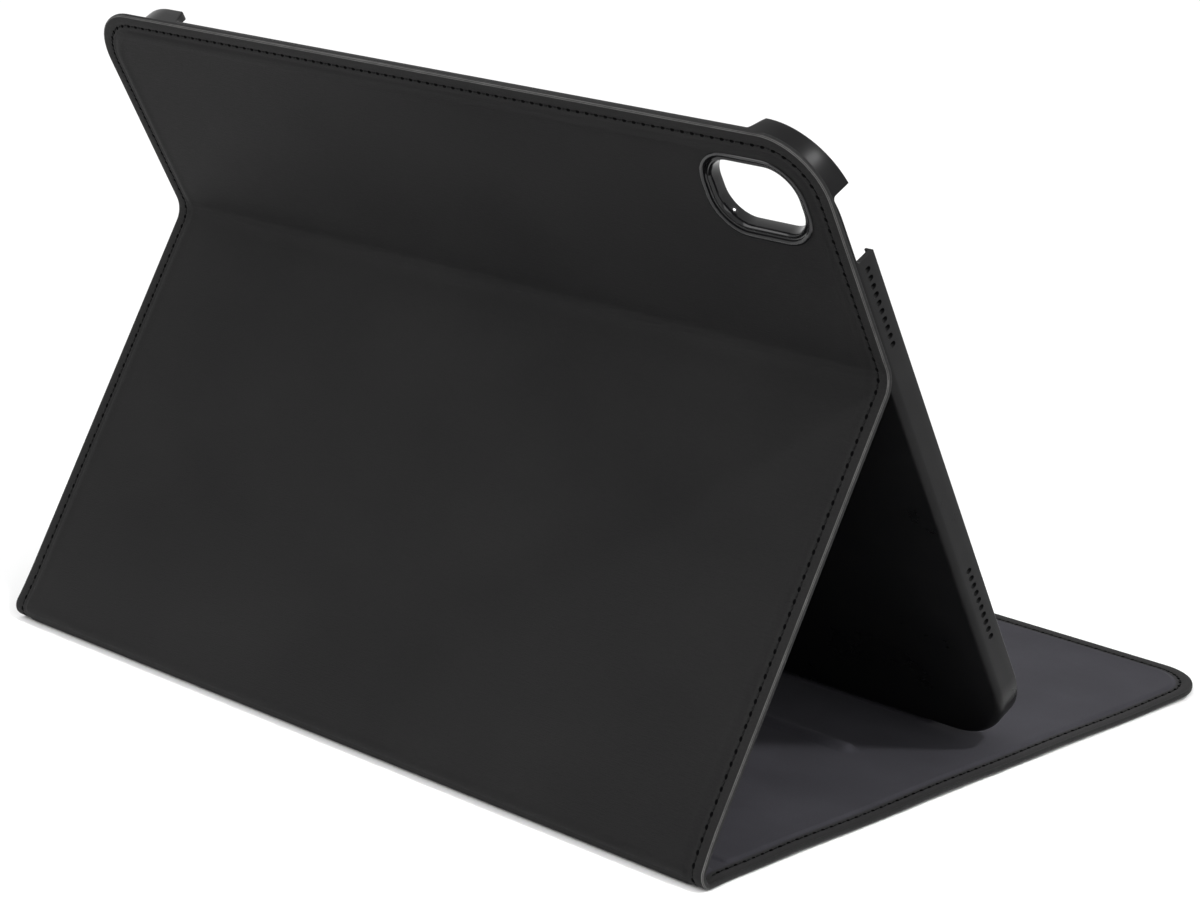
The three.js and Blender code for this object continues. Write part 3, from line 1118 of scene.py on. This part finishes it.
    def swollen(self, x: float, s: float) -> float:
        """Returns how far the back's skin swells over its boards' edges, from 0 to 1."""
        end = self.chain.bends["rear"][1]
        away = abs(self.blank.depth(x, s) - self.swell_inset)
        share = 1 - smooth_step(away, 0.0, self.swell_half_width)
        return share * smooth_step(s, end, end + self.swell_rise)

    def tucked(self, s: float) -> float:
        """Returns how far the lining is pressed into the rear bend, from 0 to 1."""
        return 1 - smooth_step(self.from_bend("rear", s), *self.relief_reach)

    def lined(self, s: float) -> float:
        """Returns 1 where the lining covers a board, and 0 on the upper back, where the tray does."""
        end = self.chain.bends["fold"][1]
        return 1 - smooth_step(s, end, end + self.bare_run)

    def cuts_along(self) -> list[float]:
        """Returns the places where the blank is cut across its length."""
        cuts = [s.end for s in self.sections[:-1]]
        for outline, _, _ in self.boards:
            for end, way in ((outline.y0, -1), (outline.y1, 1)):
                cuts += [end + way * step * self.shoulder for step in (-0.25, 0.15, 0.5, 0.85, 1.05)]
        for name, steps in (("rear", 16), ("fold", 14)):
            start, end = self.chain.bends[name]
            cuts += [start + (end - start) * i / steps for i in range(steps + 1)]
        for place in self.ridges:
            cuts += [place + step * self.ridge_half_width
                     for step in (-1.25, -0.95, -0.65, -0.35, 0, 0.35, 0.65, 0.95, 1.25)]
        front = self.chain.bends["front"][0]
        cuts += [front + step * MM for step in (-5, -4, -3, -2, -1, 0, 1, 2, 3)]
        cuts += even_cuts(0.0, self.chain.length(), 7.5 * MM)
        inside = sorted(c for c in cuts if EPS < c < self.chain.length() - EPS)
        ends = {s.end for s in self.sections}
        return [c for i, c in enumerate(inside)
                if i == 0 or c - inside[i - 1] > 0.12 * MM or c in ends]

    def cuts_across(self) -> list[float]:
        """Returns the places where the blank is cut across its width."""
        ends = [sign * (self.ridge_end + step * MM)
                for sign in (-1, 1) for step in (-5, -3.6, -2.8, -2, -1.2, -0.4, 0.4)]
        return even_cuts(self.blank.x0, self.blank.x1, 9 * MM) + ends

    def flat_mesh(self) -> bmesh.types.BMesh:
        """Cuts the blank's mesh, with loops that follow its edge, seam and shoulders.

        Returns:
            The flat mesh, with x and s as its first two coordinates.
        """
        bm = bmesh.new()
        face = self.blank.face(bm)
        for width in RING_WIDTHS:
            bmesh.ops.inset_region(bm, faces=[face], thickness=width, use_even_offset=True,
                                   use_boundary=True)
        slice_mesh(bm, self.cuts_along(), 1)
        slice_mesh(bm, self.cuts_across(), 0)
        lay_flat_map(bm)
        return bm

    def keep_section(
        self, bm: bmesh.types.BMesh, section: Section, hole: RoundedRect | None = None
    ) -> None:
        """Deletes what lies outside a section, and what lies inside a hole."""
        gone = []
        for f in bm.faces:
            middle = f.calc_center_median()
            outside = not section.start <= middle.y <= section.end
            if outside or (hole and hole.depth(middle.x, middle.y) > 0):
                gone.append(f)
        bmesh.ops.delete(bm, geom=gone, context="FACES")

    def bend(self, bm: bmesh.types.BMesh) -> None:
        """Lays a flat mesh along the chain, with its z as the height."""
        for v in bm.verts:
            x = v.co.x + self.flare_at(v.co.x, v.co.y)
            v.co = self.chain.place(x, v.co.y, v.co.z)

    def flare_at(self, x: float, s: float) -> float:
        """Returns how far the cover's end spreads sideways at the rear bend."""
        away = self.from_bend("rear", s) / self.flare_reach
        near_end = smooth_step(abs(x), self.blank.x1 - self.flare_inset, self.blank.x1)
        return math.copysign(self.flare * max(0.0, 1 - away) ** 2 * near_end, x)

    def sheet(self, flat: bmesh.types.BMesh, section: Section, side: Side) -> bpy.types.Object:
        """Makes one section of the skin or of the lining.

        Args:
            flat: the blank's flat mesh.
            section: the section to make.
            side: OUTER for the skin, INNER for the lining.

        Returns:
            The piece, in place.
        """
        bm = flat.copy()
        hole = None
        if side is Side.INNER and section.name == "upper_back":
            hole = self.boards[-1][0].grown(-0.2 * MM)
        self.keep_section(bm, section, hole)
        border = bm.verts.layers.float.new(EDGE_NAME)
        for v in bm.verts:
            v.co.z = self.height(side, v.co.x, v.co.y)
            v[border] = 1 - smooth_step(self.blank.depth(v.co.x, v.co.y), 3.7 * MM, 4.6 * MM)
        thick = self.skin if side is Side.OUTER else -self.lining
        copy = bmesh.ops.extrude_face_region(bm, geom=bm.faces[:], use_keep_orig=True)["geom"]
        for v in (g for g in copy if isinstance(g, bmesh.types.BMVert)):
            v.co.z += thick
            if side is Side.INNER:
                v.co.z = max(v.co.z, self.sway(v.co.x, v.co.y) - self.lining_rest)
        self.bend(bm)
        bmesh.ops.recalc_face_normals(bm, faces=bm.faces[:])
        if side is Side.OUTER:
            slot, finish, nodes = "leatherette", Finish.LEATHERETTE, section.replaces_outer
        else:
            slot, finish, nodes = "lining", Finish.MICROFIBRE, section.replaces_inner
        piece = to_object(f"{section.name}_{slot}", bm, finish)
        if nodes:
            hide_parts(*nodes)
        return piece

    def painted_edge(self) -> bmesh.types.BMesh:
        """Sweeps the edge paint's section round the blank.

        Returns:
            The flat bead, with its height as z.
        """
        low, high = self.border_outer + 0.02 * MM, self.border_inner - 0.02 * MM
        bulge = self.bead_bulge
        middle = (low + high) / 2
        profile = [
            (0.5 * MM, low + 0.3 * MM), (0.34 * MM, low + 0.03 * MM), (0.14 * MM, low),
            (-0.4 * bulge, low + 0.22 * MM), (-bulge, middle - 0.2 * MM), (-bulge, middle + 0.2 * MM),
            (-0.4 * bulge, high - 0.22 * MM), (0.14 * MM, high), (0.34 * MM, high - 0.03 * MM),
            (0.5 * MM, high - 0.3 * MM),
        ]
        bm = closed_ring(self.blank, profile)
        highlight_share = bm.verts.layers.float.new(EDGE_NAME)
        for v in bm.verts:
            # painted highlight share: 1 along the bead's outer corner, fading inwards over about half a millimetre
            v[highlight_share] = 1 - smooth_step(v.co.z, low + 0.1 * MM, low + 0.55 * MM)
        slice_mesh(bm, self.cuts_along(), 1)
        slice_mesh(bm, self.cuts_across(), 0)
        lay_flat_map(bm)
        return bm

    def edge_piece(self, bead: bmesh.types.BMesh, section: Section) -> bpy.types.Object:
        """Makes one section of the painted edge.

        Args:
            bead: the flat bead.
            section: the section to make.

        Returns:
            The piece.
        """
        bm = bead.copy()
        self.keep_section(bm, section)
        bmesh.ops.holes_fill(bm, edges=[e for e in bm.edges if e.is_boundary], sides=0)
        for v in bm.verts:
            v.co.z += self.sway(v.co.x, v.co.y)
        self.bend(bm)
        bmesh.ops.recalc_face_normals(bm, faces=bm.faces[:])
        return to_object(f"{section.name}_edge_paint", bm, Finish.EDGE_PAINT)

    def seam_marks(self, section: Section, between: bool) -> list[tuple[float, float, float]]:
        """Finds the stitches of one section, or the needle holes between them.

        Args:
            section: the section that is sewn.
            between: True for the places between two stitches.

        Returns:
            For each place, its x, s and heading.
        """
        steps = self.blank.grown(-self.seam_inset).walk(self.stitch_pitch)
        if between:
            pairs = zip(steps, steps[1:] + steps[:1])
            steps = [((a[0] + b[0]) / 2, (a[1] + b[1]) / 2, a[2]) for a, b in pairs]
        return [step for step in steps if section.start < step[1] <= section.end]

    def stitches(self, section: Section, side: Side) -> bpy.types.Object | None:
        """Sews one section's seam: a slanted loop for each stitch, pulled down at both ends.

        Args:
            section: the section to sew.
            side: the face that shows the thread.

        Returns:
            The piece, or None where the section has no stitch.
        """
        marks = self.seam_marks(section, between=False)
        if not marks:
            return None
        half, thick = 0.37 * self.stitch_pitch, self.thread_half
        out = side.outward()
        bm = bmesh.new()
        bmesh.ops.create_uvsphere(bm, u_segments=6, v_segments=5, radius=1.0)
        for (x, s, heading), verts in zip(marks, clones(bm, len(marks))):
            turn = Matrix.Rotation(heading + out * self.slant, 2)
            for v in verts:
                along = v.co.z
                rise = v.co.y * thick * 0.8 + thick * (0.5 - 1.5 * along * along)
                px, ps = Vector((x, s)) + turn @ Vector((along * half, v.co.x * thick))
                v.co = Vector((px, ps, self.height(side, px, ps) + out * rise))
        return self.sewn(bm, f"{section.name}_{side.value}_stitches", Finish.THREAD)

    def needle_holes(self, section: Section, side: Side) -> bpy.types.Object | None:
        """Presses the needle holes between the stitches, as shallow dimples coloured with painted shade.

        Args:
            section: the section to press.
            side: the face that shows them.

        Returns:
            The piece, or None where the section has no hole.
        """
        marks = self.seam_marks(section, between=True)
        if not marks:
            return None
        out = side.outward()
        bm = bmesh.new()
        bmesh.ops.create_uvsphere(bm, u_segments=8, v_segments=4, radius=1.0)
        for (x, s, heading), verts in zip(marks, clones(bm, len(marks))):
            turn = Matrix.Rotation(heading + out * self.slant, 2)
            for v in verts:
                spot = Vector((v.co.x * self.hole_size[0], v.co.y * self.hole_size[1]))
                px, ps = Vector((x, s)) + turn @ spot
                v.co = Vector((px, ps, self.height(side, px, ps) + out * v.co.z * self.hole_depth))
        return self.sewn(bm, f"{section.name}_{side.value}_needle_holes", Finish.NEEDLE_HOLE)

    def sewn(self, bm: bmesh.types.BMesh, name: str, finish: Finish) -> bpy.types.Object:
        """Bends a flat piece of stitching into place and finishes it."""
        self.bend(bm)
        bmesh.ops.recalc_face_normals(bm, faces=bm.faces[:])
        return to_object(name, bm, finish)

    def build(self, window: Callable[[bmesh.types.BMesh], None]) -> None:
        """Builds every section's sheets, edge and stitching.

        Args:
            window: adds the camera window's cutter to a mesh.
        """
        flat, bead = self.flat_mesh(), self.painted_edge()
        for section in self.sections:
            skin = self.sheet(flat, section, Side.OUTER)
            if section.name == "upper_back":
                cutter = bmesh.new()
                window(cutter)
                cut_with(skin, cutter)
            pieces = [skin, self.sheet(flat, section, Side.INNER), self.edge_piece(bead, section)]
            for side in Side:
                pieces += [self.stitches(section, side), self.needle_holes(section, side)]
            for piece in filter(None, pieces):
                section.attach(piece, self.chain)
        flat.free()
        bead.free()


# ---------------------------------------------------------------- the tray


@dataclass
class Tray:
    """The hard tray: a floor and walls round the tablet, with clips at its corners."""

    wall: float = 1.4 * MM
    floor: float = 1.2 * MM
    lip_reach: float = 1.0 * MM
    corner: float = 19.65 * MM
    back_radius: float = 2.0 * MM
    rim_radius: float = 0.32 * MM
    low_wall: float = 3.8 * MM
    low_wall_bottom: float = 5.6 * MM
    clip_left: float = 27.5 * MM
    clip_right: float = 22 * MM
    clip_ramp: float = 2.6 * MM
    kept_wall: float = 2.4 * MM
    kept_crown: float = 1.0 * MM
    window_reach: float = 6 * MM
    tablet_thickness: float = 6.1 * MM
    hole_pitch: float = 2.35 * MM
    hole_count: int = 10
    hole_offset: float = 45 * MM
    hole_size: tuple[float, float] = (1.3 * MM, 1.9 * MM)
    port_size: tuple[float, float] = (14 * MM, 5.8 * MM)
    cut_reach: float = 1.75 * MM
    notch_top: float = 14.2 * MM
    notch_length: float = 18.2 * MM
    notch_floor: float = 1.9 * MM
    notch_radius: float = 1.1 * MM
    window_radius: float = 9.5 * MM
    window_gap: float = 0.15 * MM
    ring_gap: float = 0.12 * MM

    def __post_init__(self) -> None:
        """Measures the tray's and the camera ring's boxes in the tray's own axes."""
        self.axes = AXES["tray"]
        low, high = self.axes.local_box("tray_shell")
        self.back, self.face = low.z, high.z
        self.depth = high.z - low.z
        self.outline = RoundedRect(low.x, high.x, low.y, high.y, self.corner, 22)
        rim_low, rim_high = self.axes.local_box("camera_rim")
        gap = self.window_gap
        self.window = RoundedRect(rim_low.x - gap, rim_high.x + gap, rim_low.y - gap, rim_high.y + gap,
                                  self.window_radius, 14)
        self.rim_levels = rim_low.z, rim_high.z

    def section(self) -> list[tuple[float, float]]:
        """Returns the wall's section from the back face round to the floor, as insets and heights."""
        r, rim, top = self.back_radius, self.rim_radius, self.depth
        lip, under = self.wall + self.lip_reach, top - 0.6 * MM
        foot = 0.55 * MM
        back = [(r - r * math.sin(a), r - r * math.cos(a)) for a in quarter(8)]
        outer = [(0, 3.1 * MM), (0, 4.4 * MM), (0, 5.7 * MM)]
        crown = [(rim - rim * math.cos(a), top - rim + rim * math.sin(a)) for a in quarter(5)]
        inner = [(lip - rim * 0.5 + rim * 0.5 * math.sin(a), top - rim * 0.5 + rim * 0.5 * math.cos(a))
                 for a in quarter(3)]
        below = [(lip - 0.06 * MM, under), (self.wall + 0.12 * MM, under - 0.03 * MM),
                 (self.wall, under - 0.15 * MM), (self.wall, 5.4 * MM), (self.wall, 4.0 * MM),
                 (self.wall, 3.0 * MM)]
        fillet = [(self.wall + foot - foot * math.cos(a), self.floor + foot - foot * math.sin(a))
                  for a in quarter(4)]
        return back + outer + crown + inner + below + fillet

    def clip_ends(self) -> tuple[float, float]:
        """Returns where the clips end along the long walls, the right one first."""
        return self.outline.x0 + self.clip_right, self.outline.x1 - self.clip_left

    def shape_walls(self, bm: bmesh.types.BMesh) -> None:
        """Lowers the long walls between their clips, with an S-shaped slope at each clip."""
        right, left = self.clip_ends()
        fixed, moved = self.kept_wall, self.depth - self.kept_crown
        for v in bm.verts:
            if v.co.z < fixed or abs(v.co.x) > self.outline.x1 - self.corner:
                continue
            upper = v.co.y > (self.outline.y0 + self.outline.y1) / 2
            inset = self.outline.y1 - v.co.y if upper else v.co.y - self.outline.y0
            if inset > self.wall + self.lip_reach + EPS:
                continue
            share = smooth_step(v.co.x, right - self.clip_ramp, right)
            share *= 1 - smooth_step(v.co.x, left, left + self.clip_ramp)
            drop = self.depth - (self.low_wall if upper else self.low_wall_bottom)
            v.co.z -= share * drop * min(max((v.co.z - fixed) / (moved - fixed), 0.0), 1.0)
            if inset > self.wall:
                kept = self.wall + (inset - self.wall) * (1 - 0.9 * share)
                v.co.y = self.outline.y1 - kept if upper else self.outline.y0 + kept

    def shell_mesh(self) -> bmesh.types.BMesh:
        """Moulds the shell, still without its openings, in its own axes.

        Returns:
            The closed mesh.
        """
        bm = bmesh.new()
        section = self.section()
        back = self.outline.grown(-section[0][0]).face(bm, section[0][1])
        last = raise_ring(bm, list(back.edges), self.outline, section)
        bmesh.ops.contextual_create(bm, geom=last)
        right, left = self.clip_ends()
        ramp = [self.clip_ramp * (i / 8) for i in range(9)]
        cuts = [right - t for t in ramp] + [left + t for t in ramp]
        slice_mesh(bm, cuts + even_cuts(right, left, 25 * MM), 0)
        bmesh.ops.recalc_face_normals(bm, faces=bm.faces[:])
        self.shape_walls(bm)
        return bm

    def placed(self, x: float, y: float, z: float, turn: Matrix | None = None) -> Matrix:
        """Returns the matrix of a tool at a place in the tray's axes."""
        lift = Matrix.Translation((0, 0, self.back))
        return self.axes.matrix() @ lift @ Matrix.Translation((x, y, z)) @ (turn or Matrix.Identity(4))

    def end_hole(
        self, bm: bmesh.types.BMesh, x: float, y: float, size: tuple[float, float], segments: int
    ) -> None:
        """Adds the cutter of a round-ended hole through an end wall.

        Args:
            bm: the mesh to add to.
            x: the wall's place along the tray.
            y: the hole's place along the wall.
            size: its length and its height.
            segments: how round its corners are.
        """
        length, height = size
        turn = Matrix.Rotation(math.radians(90), 4, "Y")
        radius = min(length, height) / 2 * 0.98
        outline = RoundedRect(-height / 2, height / 2, -length / 2, length / 2, radius, segments)
        z = self.floor + self.tablet_thickness / 2
        prism(bm, outline, -self.cut_reach, self.cut_reach, self.placed(x, y, z, turn))

    def hole_cutters(self) -> bmesh.types.BMesh:
        """Collects the cutters of every small opening in the walls.

        Returns:
            Their mesh, in the frame.
        """
        bm = bmesh.new()
        middle = (self.outline.y0 + self.outline.y1) / 2
        for x in (self.outline.x0, self.outline.x1):
            for side in (-1, 1):
                for i in range(self.hole_count):
                    along = (i - (self.hole_count - 1) / 2) * self.hole_pitch
                    self.end_hole(bm, x, middle + side * self.hole_offset + along, self.hole_size, 4)
        self.end_hole(bm, self.outline.x1, middle, self.port_size, 8)
        return bm

    def notch_cutter(self) -> bmesh.types.BMesh:
        """Makes the cutter of the button's notch, in the frame."""
        bm = bmesh.new()
        top = self.outline.y1 - self.notch_top
        turn = Matrix.Rotation(math.radians(90), 4, "Y")
        outline = RoundedRect(-12 * MM, -self.notch_floor, top - self.notch_length, top,
                              self.notch_radius, 6)
        prism(bm, outline, -3 * MM, 3 * MM, self.placed(self.outline.x0, 0, 0, turn))
        return bm

    def window_cutter(self, bm: bmesh.types.BMesh) -> None:
        """Adds the camera window's cutter, through cover and floor, to a mesh in the frame."""
        prism(bm, self.window, -self.window_reach, self.window_reach, self.placed(0, 0, 0))

    def build_shell(self) -> None:
        """Builds the shell with its openings."""
        bm = self.shell_mesh()
        bmesh.ops.transform(bm, matrix=self.placed(0, 0, 0), verts=bm.verts[:])
        shell = to_object("tray_moulding", bm, Finish.TRAY_PLASTIC)
        window = bmesh.new()
        self.window_cutter(window)
        for cutter in (self.hole_cutters(), self.notch_cutter(), window):
            cut_with(shell, cutter)
        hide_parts("tray_shell")
        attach(shell, "tray")

    def build_ring(self) -> None:
        """Builds the glossy ring round the camera window: a proud flange, a groove and a bore."""
        low, high = self.rim_levels
        proud = -low + high
        gap = self.ring_gap
        flange = [(0.0, -0.25), (-0.55, -0.22), (-0.72, -0.02), (-0.62, 0.16), (-0.30, 0.24), (0.15, 0.20)]
        groove = [(0.42, 0.02), (0.55, -0.45), (0.80, -0.62), (1.05, -0.55), (1.22, -0.42), (1.45, -0.40)]
        bore = [(1.62, -0.55), (1.95, -1.6)]
        shown = [(gap + inset * MM, proud + height * MM) for inset, height in flange + groove + bore]
        profile = [(gap, 0.0), *shown, (gap + 2.0 * MM, 0.25 * MM), (gap + 1.9 * MM, 0.0)]
        bm = closed_ring(self.window, profile)
        flip = Matrix.Translation((0, 0, high)) @ Matrix.Scale(-1, 4, (0, 0, 1))
        bmesh.ops.transform(bm, matrix=self.axes.matrix() @ flip, verts=bm.verts[:])
        bmesh.ops.recalc_face_normals(bm, faces=bm.faces[:])
        ring = to_object("camera_ring", bm, Finish.GLOSS_PLASTIC)
        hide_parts("camera_rim")
        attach(ring, "tray")

    def build(self) -> None:
        """Builds the shell and the camera ring."""
        self.build_shell()
        self.build_ring()


# ---------------------------------------------------------------- hidden pieces and the studio


@dataclass(frozen=True)
class HiddenPieces:
    """The boards, magnets and bonding pad, which keep their CAD shapes and get their finishes."""

    finishes: tuple[tuple[str, Finish, str], ...] = (
        ("board", Finish.GREYBOARD, "board"),
        ("magnet", Finish.NICKEL, "magnet"),
        ("bond_pad", Finish.FOAM_TAPE, "foam"),
    )

    def dress(self) -> None:
        """Gives each node its material."""
        for name, node in frame["nodes"].items():
            for word, finish, slot in self.finishes:
                if word in name:
                    node.data.materials.clear()
                    node.data.materials.append(shelf.take(finish))
                    log.info("%s keeps its CAD shape", name)


@dataclass(frozen=True)
class Studio:
    """The pale floor, the soft lights and the camera."""

    camera_place: tuple[float, float, float] = (-0.57795, 0.59309, 0.28994)
    camera_target: tuple[float, float, float] = (-0.03986, 0.04307, 0.07100)
    camera_roll: float = math.radians(1.2)
    lens: float = 97.63
    world: float = 1.0
    floor_tone: float = 0.94
    spot_cone: float = math.radians(7.5)

    def build_camera(self) -> None:
        """Places the camera and makes it the scene's own."""
        data = bpy.data.cameras.new("camera")
        data.lens, data.sensor_width = self.lens, 36.0
        data.clip_start, data.clip_end = 0.01, 50
        camera = bpy.data.objects.new("camera", data)
        bpy.context.scene.collection.objects.link(camera)
        place, target = Vector(self.camera_place), Vector(self.camera_target)
        look = (target - place).to_track_quat("-Z", "Y").to_matrix().to_4x4()
        camera.matrix_world = Matrix.Translation(place) @ look @ Matrix.Rotation(self.camera_roll, 4, "Z")
        bpy.context.scene.camera = camera

    def build_floor(self) -> None:
        """Lays the pale floor."""
        bm = bmesh.new()
        bmesh.ops.create_grid(bm, x_segments=1, y_segments=1, size=6.0)
        mesh = bpy.data.meshes.new("floor")
        bm.to_mesh(mesh)
        bm.free()
        floor = bpy.data.objects.new("floor", mesh)
        bpy.context.scene.collection.objects.link(floor)
        kit = NodeKit("floor")
        tone = (self.floor_tone, self.floor_tone, self.floor_tone, 1.0)
        floor.data.materials.append(kit.finish(Base_Color=tone, Roughness=0.95))

    def hang(self, data: bpy.types.Light, place: Sequence[float], target: Sequence[float]) -> None:
        """Hangs a light so that it faces a target."""
        light = bpy.data.objects.new(data.name, data)
        bpy.context.scene.collection.objects.link(light)
        light.location = place
        light.rotation_euler = (Vector(target) - Vector(place)).to_track_quat("-Z", "Y").to_euler()

    def soft_light(self, name: str, size: float, power: float) -> bpy.types.Light:
        """Returns a square soft light."""
        data = bpy.data.lights.new(name, "AREA")
        data.size, data.energy = size, power
        return data

    def spotlight(self, name: str, radius: float, power: float) -> bpy.types.Light:
        """Returns a narrow spotlight with a soft edge."""
        data = bpy.data.lights.new(name, "SPOT")
        data.shadow_soft_size, data.energy = radius, power
        data.spot_size, data.spot_blend = self.spot_cone, 0.9
        return data

    def build(self) -> None:
        """Builds the studio."""
        world = bpy.data.worlds.new("studio")
        world.use_nodes = True
        sky = world.node_tree.nodes["Background"]
        sky.inputs["Color"].default_value = (1, 1, 1, 1)
        sky.inputs["Strength"].default_value = self.world
        bpy.context.scene.world = world
        bpy.context.scene.view_settings.view_transform = "Standard"
        self.build_floor()
        self.hang(self.soft_light("key", 1.1, 13), (0.9, 1.3, 1.5), (0, 0, 0.08))
        self.hang(self.soft_light("side", 0.9, 6), (-1.4, 0.45, 0.8), (0, 0, 0.05))
        self.hang(self.spotlight("corner", 0.2, 420), (-0.90, -0.08, 1.25), (-0.121, 0.068, 0.157))
        self.build_camera()


def main() -> None:
    """Builds the case from the cover inwards, then the studio."""
    logging.basicConfig(level=logging.INFO, format="%(relativeCreated)d ms %(message)s")
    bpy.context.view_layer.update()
    tray = Tray()
    Cover(HingeChain()).build(tray.window_cutter)
    tray.build()
    HiddenPieces().dress()
    Studio().build()


if __name__ == "__main__":
    main()
